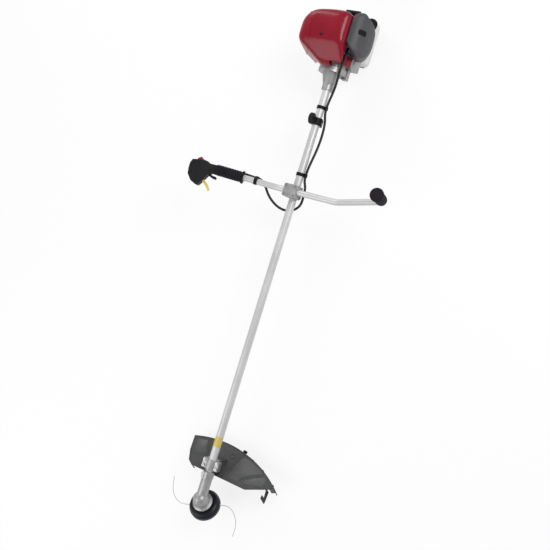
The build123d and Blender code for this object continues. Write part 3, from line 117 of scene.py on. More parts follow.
def map_range(tree, value, low, high, to_low, to_high):
    """A value mapped from one range to another, where each end is a number or a socket."""
    node = tree.nodes.new("ShaderNodeMapRange")
    link(tree, value, node.inputs["Value"])
    for label, end in (("From Min", low), ("From Max", high), ("To Min", to_low), ("To Max", to_high)):
        if isinstance(end, float):
            node.inputs[label].default_value = end
        else:
            link(tree, end, node.inputs[label])
    return node.outputs["Result"]


def multiplied(tree, first, second):
    """The product of two value sockets."""
    node = tree.nodes.new("ShaderNodeMath")
    node.operation = "MULTIPLY"
    link(tree, first, node.inputs[0])
    link(tree, second, node.inputs[1])
    return node.outputs["Value"]


def blend_colour(tree, factor, first, second):
    """Two colour sockets blended by a value socket."""
    node = tree.nodes.new("ShaderNodeMix")
    node.data_type = "RGBA"
    link(tree, factor, node.inputs["Factor"])
    link(tree, first, node.inputs["A"])
    link(tree, second, node.inputs["B"])
    return node.outputs["Result"]


def build_surface_group():
    """Cloudy colour, uneven gloss and fine grain of a moulded or cast surface."""
    group, inside, outside = new_group(
        "surface grain",
        [
            ("Colour", "NodeSocketColor", (0.5, 0.5, 0.5, 1)),
            ("Worn Colour", "NodeSocketColor", (0.6, 0.6, 0.6, 1)),
            ("Cloud Scale", "NodeSocketFloat", 14.0),
            ("Grain Scale", "NodeSocketFloat", 900.0),
            ("Grain Depth", "NodeSocketFloat", 0.1),
            ("Low Roughness", "NodeSocketFloat", 0.3),
            ("High Roughness", "NodeSocketFloat", 0.5),
        ],
        [("Colour", "NodeSocketColor"), ("Roughness", "NodeSocketFloat"), ("Normal", "NodeSocketVector")],
    )
    given = inside.outputs
    where = group.nodes.new("ShaderNodeTexCoord").outputs["Object"]
    cloud = noise_at(group, where, given["Cloud Scale"], *CLOUD_NOISE)
    grain = noise_at(group, where, given["Grain Scale"], *GRAIN_NOISE)
    patch = map_range(group, cloud, *CLOUD_COLOUR_RANGE, 0.0, 1.0)
    link(group, blend_colour(group, patch, given["Colour"], given["Worn Colour"]), outside.inputs["Colour"])
    rough = map_range(group, cloud, *CLOUD_GLOSS_RANGE, given["Low Roughness"], given["High Roughness"])
    link(group, rough, outside.inputs["Roughness"])
    bump = group.nodes.new("ShaderNodeBump")
    bump.inputs["Distance"].default_value = GRAIN_DISTANCE
    link(group, given["Grain Depth"], bump.inputs["Strength"])
    link(group, grain, bump.inputs["Height"])
    link(group, bump.outputs["Normal"], outside.inputs["Normal"])
    return group


def build_wear_group():
    """Another colour along the edges where handling has rubbed the surface, broken up by noise."""
    group, inside, outside = new_group(
        "edge wear",
        [
            ("Colour", "NodeSocketColor", (0.5, 0.5, 0.5, 1)),
            ("Edge Colour", "NodeSocketColor", (0.7, 0.7, 0.7, 1)),
            ("Width", "NodeSocketFloat", WEAR_WIDTH),
            ("Amount", "NodeSocketFloat", 0.5),
        ],
        [("Colour", "NodeSocketColor")],
    )
    given = inside.outputs
    bevel = group.nodes.new("ShaderNodeBevel")
    bevel.samples = WEAR_SAMPLES
    link(group, given["Width"], bevel.inputs["Radius"])
    geometry = group.nodes.new("ShaderNodeNewGeometry")
    dot = group.nodes.new("ShaderNodeVectorMath")
    dot.operation = "DOT_PRODUCT"
    link(group, bevel.outputs["Normal"], dot.inputs[0])
    link(group, geometry.outputs["Normal"], dot.inputs[1])
    edge = map_range(group, dot.outputs["Value"], *WEAR_BEND_RANGE, 0.0, 1.0)
    where = group.nodes.new("ShaderNodeTexCoord").outputs["Object"]
    scale = group.nodes.new("ShaderNodeValue").outputs["Value"]
    scale.default_value = WEAR_NOISE_SCALE
    broken = map_range(group, noise_at(group, where, scale, *WEAR_NOISE), *WEAR_NOISE_RANGE, 0.0, 1.0)
    mask = multiplied(group, multiplied(group, edge, broken), given["Amount"])
    link(group, blend_colour(group, mask, given["Colour"], given["Edge Colour"]), outside.inputs["Colour"])
    return group


surface_group = build_surface_group()
wear_group = build_wear_group()


def place_group(tree, group, values):
    """A group's node in a material, with numbers and colours for its inputs."""
    node = tree.nodes.new("ShaderNodeGroup")
    node.node_tree = group
    for label, value in values.items():
        node.inputs[label].default_value = (*value, 1) if isinstance(value, tuple) else value
    return node


def finish_material(
    name, colour, worn, roughness, metallic=0.0, cloud=14.0, grain=900.0, depth=0.1,
    edge=None, edge_amount=0.5, coat=0.0, specular=0.5,
):
    """A finished material: cloudy colour and fine grain, then rubbed edges where they are asked for."""
    material = bpy.data.materials.new(name)
    material.use_nodes = True
    tree = material.node_tree
    shader = tree.nodes["Principled BSDF"]
    surface = place_group(tree, surface_group, {
        "Colour": colour, "Worn Colour": worn, "Cloud Scale": cloud, "Grain Scale": grain,
        "Grain Depth": depth, "Low Roughness": roughness[0], "High Roughness": roughness[1],
    })
    result = surface.outputs["Colour"]
    if edge:
        rubbed = {"Edge Colour": edge, "Width": WEAR_WIDTH, "Amount": edge_amount}
        wear = place_group(tree, wear_group, rubbed)
        link(tree, result, wear.inputs["Colour"])
        result = wear.outputs["Colour"]
    link(tree, result, shader.inputs["Base Color"])
    link(tree, surface.outputs["Roughness"], shader.inputs["Roughness"])
    link(tree, surface.outputs["Normal"], shader.inputs["Normal"])
    shader.inputs["Metallic"].default_value = metallic
    shader.inputs["Specular IOR Level"].default_value = specular
    shader.inputs["Coat Weight"].default_value = coat
    shader.inputs["Coat Roughness"].default_value = COAT_ROUGHNESS
    return material


# ---------- finishes ----------
# Each finish's colour, the colour of its cloudy patches, and the range of its roughness. Then, where they
# differ from plain plastic: the scale of its clouds and grain, the grain's depth, and its rubbed edges.
FINISH_SETTINGS = {
    "anodised tube": dict(
        colour=(0.56, 0.555, 0.565), worn=(0.64, 0.635, 0.645), roughness=(0.36, 0.48), metallic=0.35,
        cloud=9, depth=0.03,
    ),
    "blasted casting": dict(
        colour=(0.34, 0.335, 0.34), worn=(0.44, 0.44, 0.44), roughness=(0.36, 0.54), metallic=0.7, cloud=40,
        grain=1400, depth=0.35, edge=(0.62, 0.62, 0.62), edge_amount=0.6,
    ),
    "machined steel": dict(
        colour=(0.42, 0.42, 0.44), worn=(0.52, 0.52, 0.53), roughness=(0.22, 0.38), metallic=1.0, cloud=60,
        depth=0.05,
    ),
    "black oxide steel": dict(
        colour=(0.012, 0.012, 0.013), worn=(0.03, 0.03, 0.03), roughness=(0.35, 0.5), metallic=0.6,
        cloud=80, edge=(0.20, 0.20, 0.20), edge_amount=0.4,
    ),
    "machined aluminium": dict(
        colour=(0.66, 0.66, 0.67), worn=(0.74, 0.74, 0.75), roughness=(0.25, 0.4), metallic=0.9, cloud=50,
        depth=0.05,
    ),
    "white bearing plastic": dict(
        colour=(0.75, 0.73, 0.66), worn=(0.80, 0.79, 0.74), roughness=(0.35, 0.5),
    ),
    "head plastic": dict(
        colour=(0.006, 0.007, 0.012), worn=(0.012, 0.013, 0.019), roughness=(0.34, 0.5), grain=1500,
        depth=0.2, edge=(0.07, 0.07, 0.08), edge_amount=0.5, coat=0.05, specular=0.22,
    ),
    "nylon line": dict(
        colour=(0.42, 0.43, 0.42), worn=(0.5, 0.5, 0.5), roughness=(0.25, 0.4), cloud=60,
    ),
    "guard plastic": dict(
        colour=(0.050, 0.052, 0.051), worn=(0.070, 0.072, 0.071), roughness=(0.45, 0.60), cloud=11,
        grain=1200, depth=0.25, edge=(0.13, 0.13, 0.13), edge_amount=0.55, specular=0.4,
    ),
    "grip rubber": dict(
        colour=(0.007, 0.006, 0.010), worn=(0.014, 0.012, 0.018), roughness=(0.55, 0.75), grain=2000,
        depth=0.35, specular=0.16,
    ),
    "black plastic": dict(
        colour=(0.008, 0.008, 0.010), worn=(0.014, 0.014, 0.017), roughness=(0.40, 0.58), grain=1500,
        depth=0.25, edge=(0.06, 0.06, 0.06), edge_amount=0.45, specular=0.22,
    ),
    "deep black plastic": dict(
        colour=(0.004, 0.004, 0.0045), worn=(0.009, 0.009, 0.010), roughness=(0.45, 0.62), grain=1500,
        depth=0.25, edge=(0.05, 0.05, 0.05), edge_amount=0.4, specular=0.18,
    ),
    # Painted sheen: this copy of the guard plastic is lighter to stand for the sheen of the smooth panels;
    # its lower roughness is the panels' own.
    "smooth guard plastic with painted sheen": dict(
        colour=(0.072, 0.074, 0.073), worn=(0.086, 0.088, 0.087), roughness=(0.34, 0.46), cloud=11,
        grain=1600, depth=0.12, edge=(0.15, 0.15, 0.15), edge_amount=0.5, specular=0.45,
    ),
    "yellow plastic": dict(
        colour=(0.70, 0.52, 0.12), worn=(0.78, 0.62, 0.22), roughness=(0.28, 0.42), depth=0.08, coat=0.2,
    ),
    "red switch plastic": dict(
        colour=(0.26, 0.008, 0.030), worn=(0.32, 0.014, 0.04), roughness=(0.28, 0.42), depth=0.08, coat=0.2,
    ),
    "cable sheath": dict(
        colour=(0.008, 0.008, 0.009), worn=(0.015, 0.015, 0.015), roughness=(0.38, 0.55), cloud=50,
        depth=0.1, specular=0.35,
    ),
    "red cover": dict(
        colour=(0.215, 0.0020, 0.013), worn=(0.245, 0.0035, 0.018), roughness=(0.20, 0.30), cloud=10,
        grain=700, depth=0.03, coat=0.15, edge=(0.34, 0.03, 0.05), edge_amount=0.3, specular=0.22,
    ),
    "grey cover": dict(
        colour=(0.052, 0.049, 0.055), worn=(0.068, 0.065, 0.070), roughness=(0.42, 0.56), grain=1300,
        depth=0.25, edge=(0.13, 0.13, 0.13), edge_amount=0.4, specular=0.4,
    ),
    "tank plastic": dict(
        colour=(0.66, 0.66, 0.65), worn=(0.72, 0.72, 0.71), roughness=(0.30, 0.42), cloud=12, depth=0.06,
    ),
    "heatproof black": dict(
        colour=(0.020, 0.019, 0.018), worn=(0.045, 0.036, 0.030), roughness=(0.55, 0.75), metallic=0.4,
        cloud=30, depth=0.4, edge=(0.16, 0.13, 0.11), edge_amount=0.5,
    ),
    "filter foam": dict(
        colour=(0.04, 0.04, 0.037), worn=(0.065, 0.065, 0.06), roughness=(0.85, 0.95), grain=500, depth=1.0,
    ),
    "vent shadow": dict(
        colour=(0.004, 0.004, 0.005), worn=(0.008, 0.008, 0.009), roughness=(0.6, 0.8), depth=0.2,
        specular=0.2,
    ),
    "yellow film": dict(
        colour=(0.56, 0.42, 0.07), worn=(0.62, 0.48, 0.12), roughness=(0.25, 0.38), cloud=30, depth=0.04,
        coat=0.3,
    ),
}
finishes = {name: finish_material(name, **settings) for name, settings in FINISH_SETTINGS.items()}
NODES_WITH_FINISH = {
    "anodised tube": ["main_tube", "handlebar"],
    "blasted casting": [
        "gear_case", "guard_bracket", "guard_clamp", "handle_base", "handle_cap", "clutch_housing",
        "cylinder", "crankcase", "carburettor", "blade_holder", "fan_case",
    ],
    "machined steel": [
        "drive_shaft", "output_gear", "pinion_gear", "ball_bearings", "output_shaft", "crankshaft",
        "connecting_rod", "clutch_shoes", "clutch_drum", "spool_spring", "trigger_spring", "line_eyelets",
        "clamp_bolts",
    ],
    "black oxide steel": ["cover_screws"],
    "machined aluminium": ["piston", "flywheel"],
    "white bearing plastic": ["shaft_bushes"],
    "head plastic": ["head_housing", "head_cover", "line_spool", "bump_knob"],
    "nylon line": ["trimmer_line_right", "trimmer_line_left"],
    "guard plastic": ["guard", "guard_skirt", "line_knife"],
    "grip rubber": ["right_grip", "left_grip"],
    "black plastic": [
        "throttle_case_upper", "throttle_case_lower", "lockout_lever", "starter_cover", "engine_stand",
        "choke_lever", "spark_plug",
    ],
    "deep black plastic": ["starter_grip", "fuel_cap", "hanger_clamp", "cable_ties"],
    "yellow plastic": ["throttle_trigger"],
    "red switch plastic": ["stop_switch"],
    "cable sheath": ["throttle_cable"],
    "red cover": ["top_cover"],
    "grey cover": ["air_cleaner_cover"],
    "tank plastic": ["fuel_tank"],
    "heatproof black": ["muffler"],
    "filter foam": ["air_filter"],
}
for finish, nodes in NODES_WITH_FINISH.items():
    for node in nodes:
        for material_slot in frame["nodes"][node].material_slots:
            material_slot.material = finishes[finish]


# ---------- making pieces by hand ----------
SHARP = math.radians(35)        # edges steeper than this are rounded, or shaded as edges
STRAIGHT = math.radians(1)
MERGE_DISTANCE = 0.00001
FACES_UP = 0.9
RING_SIDES = 40
BEAD_ROUNDNESS, CORD_ROUNDNESS = 2, 3
CORD_ORDER, CORD_STEPS = 3, 8


def pick(piece):
    """Make one piece the only selected one, and the active one."""
    bpy.ops.object.select_all(action="DESELECT")
    piece.select_set(True)
    bpy.context.view_layer.objects.active = piece


def settle(piece, turn=Matrix.Identity(4), origin=(0, 0, 0)):
    """Turn a piece and move it to its place, and leave both in its mesh."""
    pick(piece)
    piece.matrix_world = Matrix.Translation(origin) @ turn @ piece.matrix_world
    bpy.ops.object.transform_apply(location=True, rotation=True, scale=True)


def apply_modifier(piece, kind, **settings):
    """Put a modifier on a piece and apply it."""
    pick(piece)
    modifier = piece.modifiers.new(kind.title(), kind)
    for setting, value in settings.items():
        setattr(modifier, setting, value)
    bpy.ops.object.modifier_apply(modifier=modifier.name)


def soften(piece, width, segments=2):
    """Round a piece's sharp edges, by a width in millimetres, and shade the rounds smoothly."""
    apply_modifier(
        piece, "BEVEL", width=width * MM, segments=segments, limit_method="ANGLE", angle_limit=SHARP,
    )
    bpy.ops.object.shade_smooth_by_angle(angle=SHARP)


def select_top(piece):
    """Enter edit mode with only the faces selected that look up."""
    pick(piece)
    bpy.ops.object.mode_set(mode="EDIT")
    bpy.ops.mesh.select_mode(type="FACE")
    bpy.ops.mesh.select_all(action="DESELECT")
    bpy.ops.object.mode_set(mode="OBJECT")
    for face in piece.data.polygons:
        face.select = face.normal.z > FACES_UP
    bpy.ops.object.mode_set(mode="EDIT")


def dress(piece, name, body, finish):
    """Name a finished piece, give it its finish and hang it on its body."""
    piece.name = name
    piece.data.materials.clear()
    piece.data.materials.append(finishes[finish])
    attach(piece, body)


def curve_piece(name, dimensions, kind, points, closed=False):
    """A curve of one spline through or along points given in metres, and that spline."""
    curve = bpy.data.curves.new(name, "CURVE")
    curve.dimensions = dimensions
    spline = curve.splines.new(kind)
    spline.points.add(len(points) - 1)
    for point, corner in zip(spline.points, points):
        point.co = (*corner, 1)
    spline.use_cyclic_u = closed
    piece = bpy.data.objects.new(name, curve)
    bpy.context.collection.objects.link(piece)
    return piece, spline


def make_round(curve, radius, roundness):
    """Give a curve a round section, with its radius in millimetres, and closed ends."""
    curve.bevel_depth = radius * MM
    curve.bevel_resolution = roundness
    curve.use_fill_caps = True


def bead(points, radius, closed=False):
    """A rounded bead along a line of points, as a mesh."""
    piece, _ = curve_piece("bead", "3D", "POLY", points, closed)
    make_round(piece.data, radius, BEAD_ROUNDNESS)
    pick(piece)
    bpy.ops.object.convert(target="MESH")
    bpy.ops.object.shade_smooth()
    return bpy.context.object


def panel(points, low, high, rounding):
    """A raised panel with a polygon outline in the local XY plane and rounded edges, as a mesh."""
    piece, _ = curve_piece("panel", "2D", "POLY", [(x * MM, y * MM, 0) for x, y in points], closed=True)
    piece.data.fill_mode = "BOTH"
    piece.data.extrude = (high - low) / 2 * MM
    pick(piece)
    bpy.ops.object.convert(target="MESH")
    piece = bpy.context.object
    bpy.ops.object.mode_set(mode="EDIT")
    bpy.ops.mesh.select_all(action="SELECT")
    bpy.ops.mesh.remove_doubles(threshold=MERGE_DISTANCE)
    bpy.ops.mesh.dissolve_limited(angle_limit=STRAIGHT)
    bpy.ops.mesh.normals_make_consistent(inside=False)
    bpy.ops.object.mode_set(mode="OBJECT")
    piece.location = (0, 0, (low + high) / 2 * MM)
    settle(piece)
    soften(piece, rounding)
    return piece


def ring_on(point, turn, radius, bore, depth, sunk, rounding):
    """A flat ring with a sunk middle: a cylinder, inset and softened, then turned and moved to a point."""
    bpy.ops.mesh.primitive_cylinder_add(
        vertices=RING_SIDES, radius=radius * MM, depth=depth * MM, location=(0, 0, 0),
    )
    ring = bpy.context.object
    select_top(ring)
    bpy.ops.mesh.inset(thickness=(radius - bore) * MM)
    bpy.ops.mesh.extrude_region_move(TRANSFORM_OT_translate={"value": (0, 0, -sunk * MM)})
    bpy.ops.object.mode_set(mode="OBJECT")
    soften(ring, rounding)
    settle(ring, turn, point)
    return ring


def copy_of(source):
    """A copy of a piece with a mesh of its own."""
    piece = source.copy()
    piece.data = source.data.copy()
    bpy.context.collection.objects.link(piece)
    return piece


def slice_of(source, cuts, swelling):
    """The part of a piece's own wall on the near side of cutting planes, swollen a little."""
    piece = copy_of(source)
    pick(piece)
    bpy.ops.object.mode_set(mode="EDIT")
    bpy.ops.mesh.select_all(action="SELECT")
    bpy.ops.mesh.remove_doubles(threshold=MERGE_DISTANCE)
    for point, normal in cuts:
        bpy.ops.mesh.select_all(action="SELECT")
        bpy.ops.mesh.bisect(plane_co=point, plane_no=normal, use_fill=True, clear_outer=True)
    bpy.ops.mesh.select_all(action="SELECT")
    bpy.ops.transform.shrink_fatten(value=swelling * MM)
    bpy.ops.object.mode_set(mode="OBJECT")
    bpy.ops.object.shade_smooth_by_angle(angle=SHARP)
    return piece


# ---------- cords ----------
def free_cord(node, corners, body, finish, diameter):
    """A cord on one smooth curve, in place of its CAD node, with its diameter in millimetres."""
    piece, spline = curve_piece(node + "_cord", "3D", "NURBS", corners)
    make_round(piece.data, diameter / 2, CORD_ROUNDNESS)
    spline.order_u = CORD_ORDER
    spline.use_endpoint_u = True
    spline.resolution_u = CORD_STEPS
    piece.data.materials.append(finishes[finish])
    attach(piece, body)
    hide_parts(node)


LINE_DIAMETER = 2.4
LINE_PLANE = -52.0
# Each line's length, and its corners ahead of and to the left of the spindle, in the head's line plane.
LINE_RUNS = {
    "trimmer_line_right": (153, [
        (22.3, -55.2), (29, -74), (30, -95), (23, -116), (10, -134), (-7, -148), (-27, -159), (-49, -169),
    ]),
    "trimmer_line_left": (152, [
        (-22.3, 55.2), (-29, 74), (-27, 95), (-17, 114), (-3, 130), (15, 143), (37, 151), (60, 155),
    ]),
}
for node, (length, points) in LINE_RUNS.items():
    corners = [head_place(ahead, left, LINE_PLANE) for ahead, left in points]
    free_cord(node, corners, "cutter", "nylon line", LINE_DIAMETER)

CABLE_DIAMETER = 9.0
CABLE_RUN = [
    (1155, -180.9, 61.9), (1153.5, -156.8, 50.3), (1153.5, -122.5, 39.2), (1132, -108, 23),
    (1110, -95, 16), (1090, -77, 2), (1076, -55, -14), (1072, -30, -25),
    (1078, -6, -29), (1091, 15, -23), (1108, 32, -10), (1136, 35, -3),
    (1166, 33, -2), (1192, 19.6, -2), (1224, 19.6, -2), (1262, 23, -5),
    (1305, 30, -6), (1355, 34, -5), (1405, 32, -3), (1440, 19.6, -2),
    (1474, 19.6, -2), (1512, 26, -1), (1550, 33, 6), (1582, 44, 34),
    (1610, 55, 52), (1640, 64, 58), (1667.5, 60, 56),
]
free_cord(
    "throttle_cable", [place(*point) for point in CABLE_RUN], "machine", "cable sheath",
    CABLE_DIAMETER,
)

# ---------- the engine's covers, with rounder edges ----------
# The red cover is open below COVER_LOW, below CUT_TOP to the left of CUT_SIDE, and round the fan's case. The
# air cleaner's is open toward the engine. A shell keeps its shape up to RIM_HOLD from an opening, and is free
# RIM_FADE further in.
FAN_CASE_RADIUS = 63.0
COVER_LOW, CUT_SIDE, CUT_TOP = 18.0, 20.0, 86.0
CLEANER_OPEN_SIDE = 70.0
RIM_HOLD, RIM_FADE = 3.0, 22.0
SHELL_GRAIN = 1.5
PASS_STRENGTH = 0.5
COVER_PASSES, COVER_FULLNESS = 420, 2.2
CLEANER_PASSES, CLEANER_FULLNESS = 90, 0.6


def from_cover_rim(behind, left, up):
    """How far a point of the red cover lies from its nearest opening."""
    beside_cut = max(CUT_SIDE - left, up - CUT_TOP)
    return min(up - COVER_LOW, beside_cut, math.hypot(left, up) - FAN_CASE_RADIUS)


def from_cleaner_rim(behind, left, up):
    """How far a point of the air cleaner's cover lies from its open side."""
    return left - CLEANER_OPEN_SIDE


def mellowed(node, name, passes, fullness, distance, finish):
    """A cover's shell smoothed away from its openings and swelled outside again, in place of the CAD one."""
    piece = copy_of(frame["nodes"][node])
    apply_modifier(piece, "REMESH", mode="VOXEL", voxel_size=SHELL_GRAIN * MM, adaptivity=0.0)
    free = piece.vertex_groups.new(name="free")
    for vertex in piece.data.vertices:
        weight = (distance(*in_machine(vertex.co)) - RIM_HOLD) / RIM_FADE
        free.add([vertex.index], min(1.0, max(0.0, weight)), "REPLACE")
    apply_modifier(piece, "SMOOTH", factor=PASS_STRENGTH, iterations=passes, vertex_group="free")
    vertices = piece.data.vertices
    middle = sum((vertex.co for vertex in vertices), Vector()) / len(vertices)
    inner = [vertex.index for vertex in vertices if vertex.normal.dot(vertex.co - middle) < 0]
    piece.vertex_groups["free"].remove(inner)
    apply_modifier(piece, "DISPLACE", strength=fullness * MM, mid_level=0.0, vertex_group="free")
    bpy.ops.object.shade_smooth()
    dress(piece, name, "machine", finish)
    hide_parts(node)
    return piece


cover_shell = mellowed(
    "top_cover", "cover_shell", COVER_PASSES, COVER_FULLNESS, from_cover_rim, "red cover",
)
cleaner_shell = mellowed(
    "air_cleaner_cover", "cleaner_shell", CLEANER_PASSES, CLEANER_FULLNESS, from_cleaner_rim,
    "grey cover",
)

# ---------- the band on the tube ----------
BAND_START, BAND_END = 196, 232
BAND_WALL, BAND_GAP, BAND_SIDES = 0.3, 0.05, 72
tube_low, tube_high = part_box("main_tube")
TUBE_RADIUS = (tube_high[2] - tube_low[2]) / 2 / MM


def tube_band():
    """The thin yellow band near the head."""
    bpy.ops.mesh.primitive_cylinder_add(
        vertices=BAND_SIDES, radius=(TUBE_RADIUS + BAND_GAP) * MM, depth=(BAND_END - BAND_START) * MM,
        end_fill_type="NOTHING", location=place((BAND_START + BAND_END) / 2, 0, 0),
        rotation=(0, math.pi / 2, 0),
    )
    band = bpy.context.object
    settle(band)
    apply_modifier(band, "SOLIDIFY", thickness=BAND_WALL * MM, offset=1)
    bpy.ops.object.shade_smooth_by_angle(angle=SHARP)
    dress(band, "tube_band", "machine", "yellow film")


tube_band()

# ---------- the guard's moulded relief, in the head's millimetres ----------
GUARD_TOP = 18.0
GUARD_ARC_AHEAD, GUARD_ARC_SIDE, GUARD_ARC_RADIUS = 188.0, -20.0, 410.0
LIP_RADIUS, LIP_INSET = 2.2, 2.6
LIP_RIGHT, LIP_LEFT, LIP_STEPS = -142, 230, 28
LIP_FRONT = [(-121, 206), (-93, 138), (-99, -95), (-112, -113), (-147, -129)]
RIB_RADIUS = 1.1
RIBS = {
    "guard_rib_middle": [(-100, 42), (-125, 44), (-150, 51), (-170, 58), (-200, 68)],
    "guard_rib_left": [(-118, 108), (-124, 118), (-145, 148), (-166, 187)],
    "guard_rib_right": [(-212, -78), (-180, -68), (-152, -57), (-138, -100), (-136, -120)],
}
PANEL_SINK, PANEL_RISE, PANEL_ROUNDING = 1.0, 1.4, 0.8
PANELS = {
    "guard_panel_left": [
        (-108, 54), (-150, 60), (-186, 72), (-198, 82), (-194, 108), (-184, 138), (-171, 170), (-166, 174),
        (-148, 142), (-126, 110), (-104, 96),
    ],
    "guard_panel_right": [(-158, -118), (-194, -126), (-205, -86), (-158, -66), (-144, -100)],
    "guard_panel_tip": [(-104, 122), (-120, 124), (-140, 152), (-158, 186), (-150, 196), (-124, 196)],
}
BOSS_AHEAD, BOSS_SIDE = -185, 34
BOSS_RADIUS, BOSS_BORE, BOSS_DEPTH, BOSS_SUNK, BOSS_ROUNDING = 11, 8, 4, 1.2, 0.7
STOP_PLACE = (-219, 66, 12)
STOP_SIZE = (9, 15, 13)
STOP_TOP_SHARE = (0.7, 0.8, 1)
STOP_ROUNDING = 1.5


def guard_rear(side):
    """A point on the rolled rim's line, inside the guard's curved rear edge."""
    radius = GUARD_ARC_RADIUS - LIP_INSET
    return GUARD_ARC_AHEAD - math.sqrt(radius ** 2 - (side - GUARD_ARC_SIDE) ** 2), side


def on_guard(points):
    """Points on the guard's top face."""
    return [head_place(ahead, left, GUARD_TOP) for ahead, left in points]


def guard_lines():
    """The rolled rim round the guard, and the ribs across it."""
    sides = [LIP_RIGHT + index * (LIP_LEFT - LIP_RIGHT) / LIP_STEPS for index in range(LIP_STEPS + 1)]
    rear = [guard_rear(side) for side in sides]
    lip = bead(on_guard(rear + LIP_FRONT), LIP_RADIUS, closed=True)
    dress(lip, "guard_lip", "machine", "guard plastic")
    for name, points in RIBS.items():
        rib = bead(on_guard(points), RIB_RADIUS)
        dress(rib, name, "machine", "guard plastic")


def guard_panels():
    """The smoother raised panels between the ribs, in a copy of the guard plastic whose lighter colour is
    painted sheen.
    """
    for name, points in PANELS.items():
        raised = panel(points, GUARD_TOP - PANEL_SINK, GUARD_TOP + PANEL_RISE, PANEL_ROUNDING)
        settle(raised, HEAD_TURN, spindle_point)
        dress(raised, name, "machine", "smooth guard plastic with painted sheen")


def guard_boss():
    """The round boss to the right of the middle rib."""
    where = head_place(BOSS_AHEAD, BOSS_SIDE, GUARD_TOP)
    boss = ring_on(where, HEAD_TURN, BOSS_RADIUS, BOSS_BORE, BOSS_DEPTH, BOSS_SUNK, BOSS_ROUNDING)
    dress(boss, "guard_boss", "machine", "guard plastic")


def guard_stop():
    """The small block on the guard's rear edge, narrower at its top."""
    bpy.ops.mesh.primitive_cube_add(size=1, location=Vector(STOP_PLACE) * MM)
    stop = bpy.context.object
    stop.scale = Vector(STOP_SIZE) * MM
    settle(stop)
    select_top(stop)
    bpy.ops.transform.resize(value=STOP_TOP_SHARE)
    bpy.ops.object.mode_set(mode="OBJECT")
    soften(stop, STOP_ROUNDING, 3)
    settle(stop, HEAD_TURN, spindle_point)
    dress(stop, "guard_stop", "machine", "black plastic")


guard_lines()
guard_panels()
guard_boss()
guard_stop()

# ---------- the covers' relief, and patches of painted shade for their openings ---
SEAM_BEHIND, SEAM_SIDE, SEAM_WIDTH, SEAM_RISE = 1695.0, -120.0, 5.0, 0.9
SEAM_ACROSS = 0.185 * back_way + 0.983 * side_way      # a little off square to the tube
WINDOW_PLACE = (1719, 100, 83)
WINDOW_HALF_WIDTH, WINDOW_HALF_HEIGHT, WINDOW_CORNER, WINDOW_RISE = 9.0, 14.0, 13.5, 0.5
LOUVRE_COUNT, LOUVRE_LOW, LOUVRE_STEP, LOUVRE_HEIGHT, LOUVRE_RISE = 5, 68.0, 8.0, 3.5, 0.35
LOUVRE_START, LOUVRE_END, LOUVRE_SHIFT, LOUVRE_SIDE = 1652.0, 1716.0, 3.0, -60.0
SEAT_PLACE = (1682, -18, 129.0)
SEAT_RADIUS, SEAT_BORE, SEAT_DEPTH, SEAT_SUNK, SEAT_ROUNDING = 6.5, 4.0, 3.0, 1.5, 0.6


def cover_seam():
    """A raised seam where the red cover's right end begins."""
    middle = place(SEAM_BEHIND, 0, 0) + side_way * (SEAM_SIDE * MM)
    half = SEAM_ACROSS * SEAM_WIDTH / 2 * MM
    seam = slice_of(cover_shell, [(middle + half, SEAM_ACROSS), (middle - half, -SEAM_ACROSS)], SEAM_RISE)
    dress(seam, "cover_seam", "machine", "red cover")


def cleaner_window_shade():
    """A dark patch of painted shade for the window with cut corners, high on the air cleaner's cover."""
    middle = place(*WINDOW_PLACE)
    cuts = [(middle, (0, -1, 0))]
    reaches = [WINDOW_HALF_WIDTH, WINDOW_CORNER, WINDOW_HALF_HEIGHT, WINDOW_CORNER] * 2
    for eighth, reach in enumerate(reaches):
        angle = eighth * math.pi / 4
        outward = Vector((math.cos(angle), 0, math.sin(angle)))
        cuts.append((middle + outward * reach * MM, outward))
    window = slice_of(cleaner_shell, cuts, WINDOW_RISE)
    dress(window, "cleaner_window_shade", "machine", "vent shadow")


def cover_louvre_shades():
    """Dark strips of painted shade for the cooling slots in the right wall of the red cover."""
    for index in range(LOUVRE_COUNT):
        low = LOUVRE_LOW + index * LOUVRE_STEP
        start = place(LOUVRE_START + LOUVRE_SHIFT * index, LOUVRE_SIDE, low)
        end = place(LOUVRE_END, LOUVRE_SIDE, low + LOUVRE_HEIGHT)
        cuts = [
            (start, (1, 0, 0)), (end, (-1, 0, 0)), (start, (0, 1, 0)), (start, (0, 0, -1)), (end, (0, 0, 1)),
        ]
        louvre = slice_of(cover_shell, cuts, LOUVRE_RISE)
        dress(louvre, f"cover_louvre_{index + 1}", "machine", "vent shadow")


def screw_seat():
    """The sunk seat round the screw on top of the red cover, in near-black painted shade."""
    seat = ring_on(
        place(*SEAT_PLACE), Matrix.Identity(4), SEAT_RADIUS, SEAT_BORE, SEAT_DEPTH, SEAT_SUNK, SEAT_ROUNDING,
    )
    dress(seat, "cover_screw_seat", "machine", "vent shadow")


cover_seam()
cleaner_window_shade()
cover_louvre_shades()
screw_seat()

# ---------- floor, light and camera ----------
FLOOR_SIZE = 14.0
FLOOR_COLOUR = (0.86, 0.86, 0.86, 1)
FLOOR_ROUGHNESS = 0.9
GLOW_STRENGTH, GLOW_SHARE = 1.0, 0.80
WORLD_COLOUR = (1, 1, 1, 1)
WORLD_STRENGTH = 0.55
# Each lamp's place, the point it is aimed at, its size and its power.
LAMPS = {
    "key": ((-1.6, 2.2, 2.6), (-0.1, 0, 0.1), 1.6, 60),
    "fill": ((1.8, -1.2, 2.2), (0.1, 0, 0.1), 2.0, 30),
    "back": ((-2.4, -1.8, 1.6), (-0.6, 0, 0.2), 1.4, 25),
}


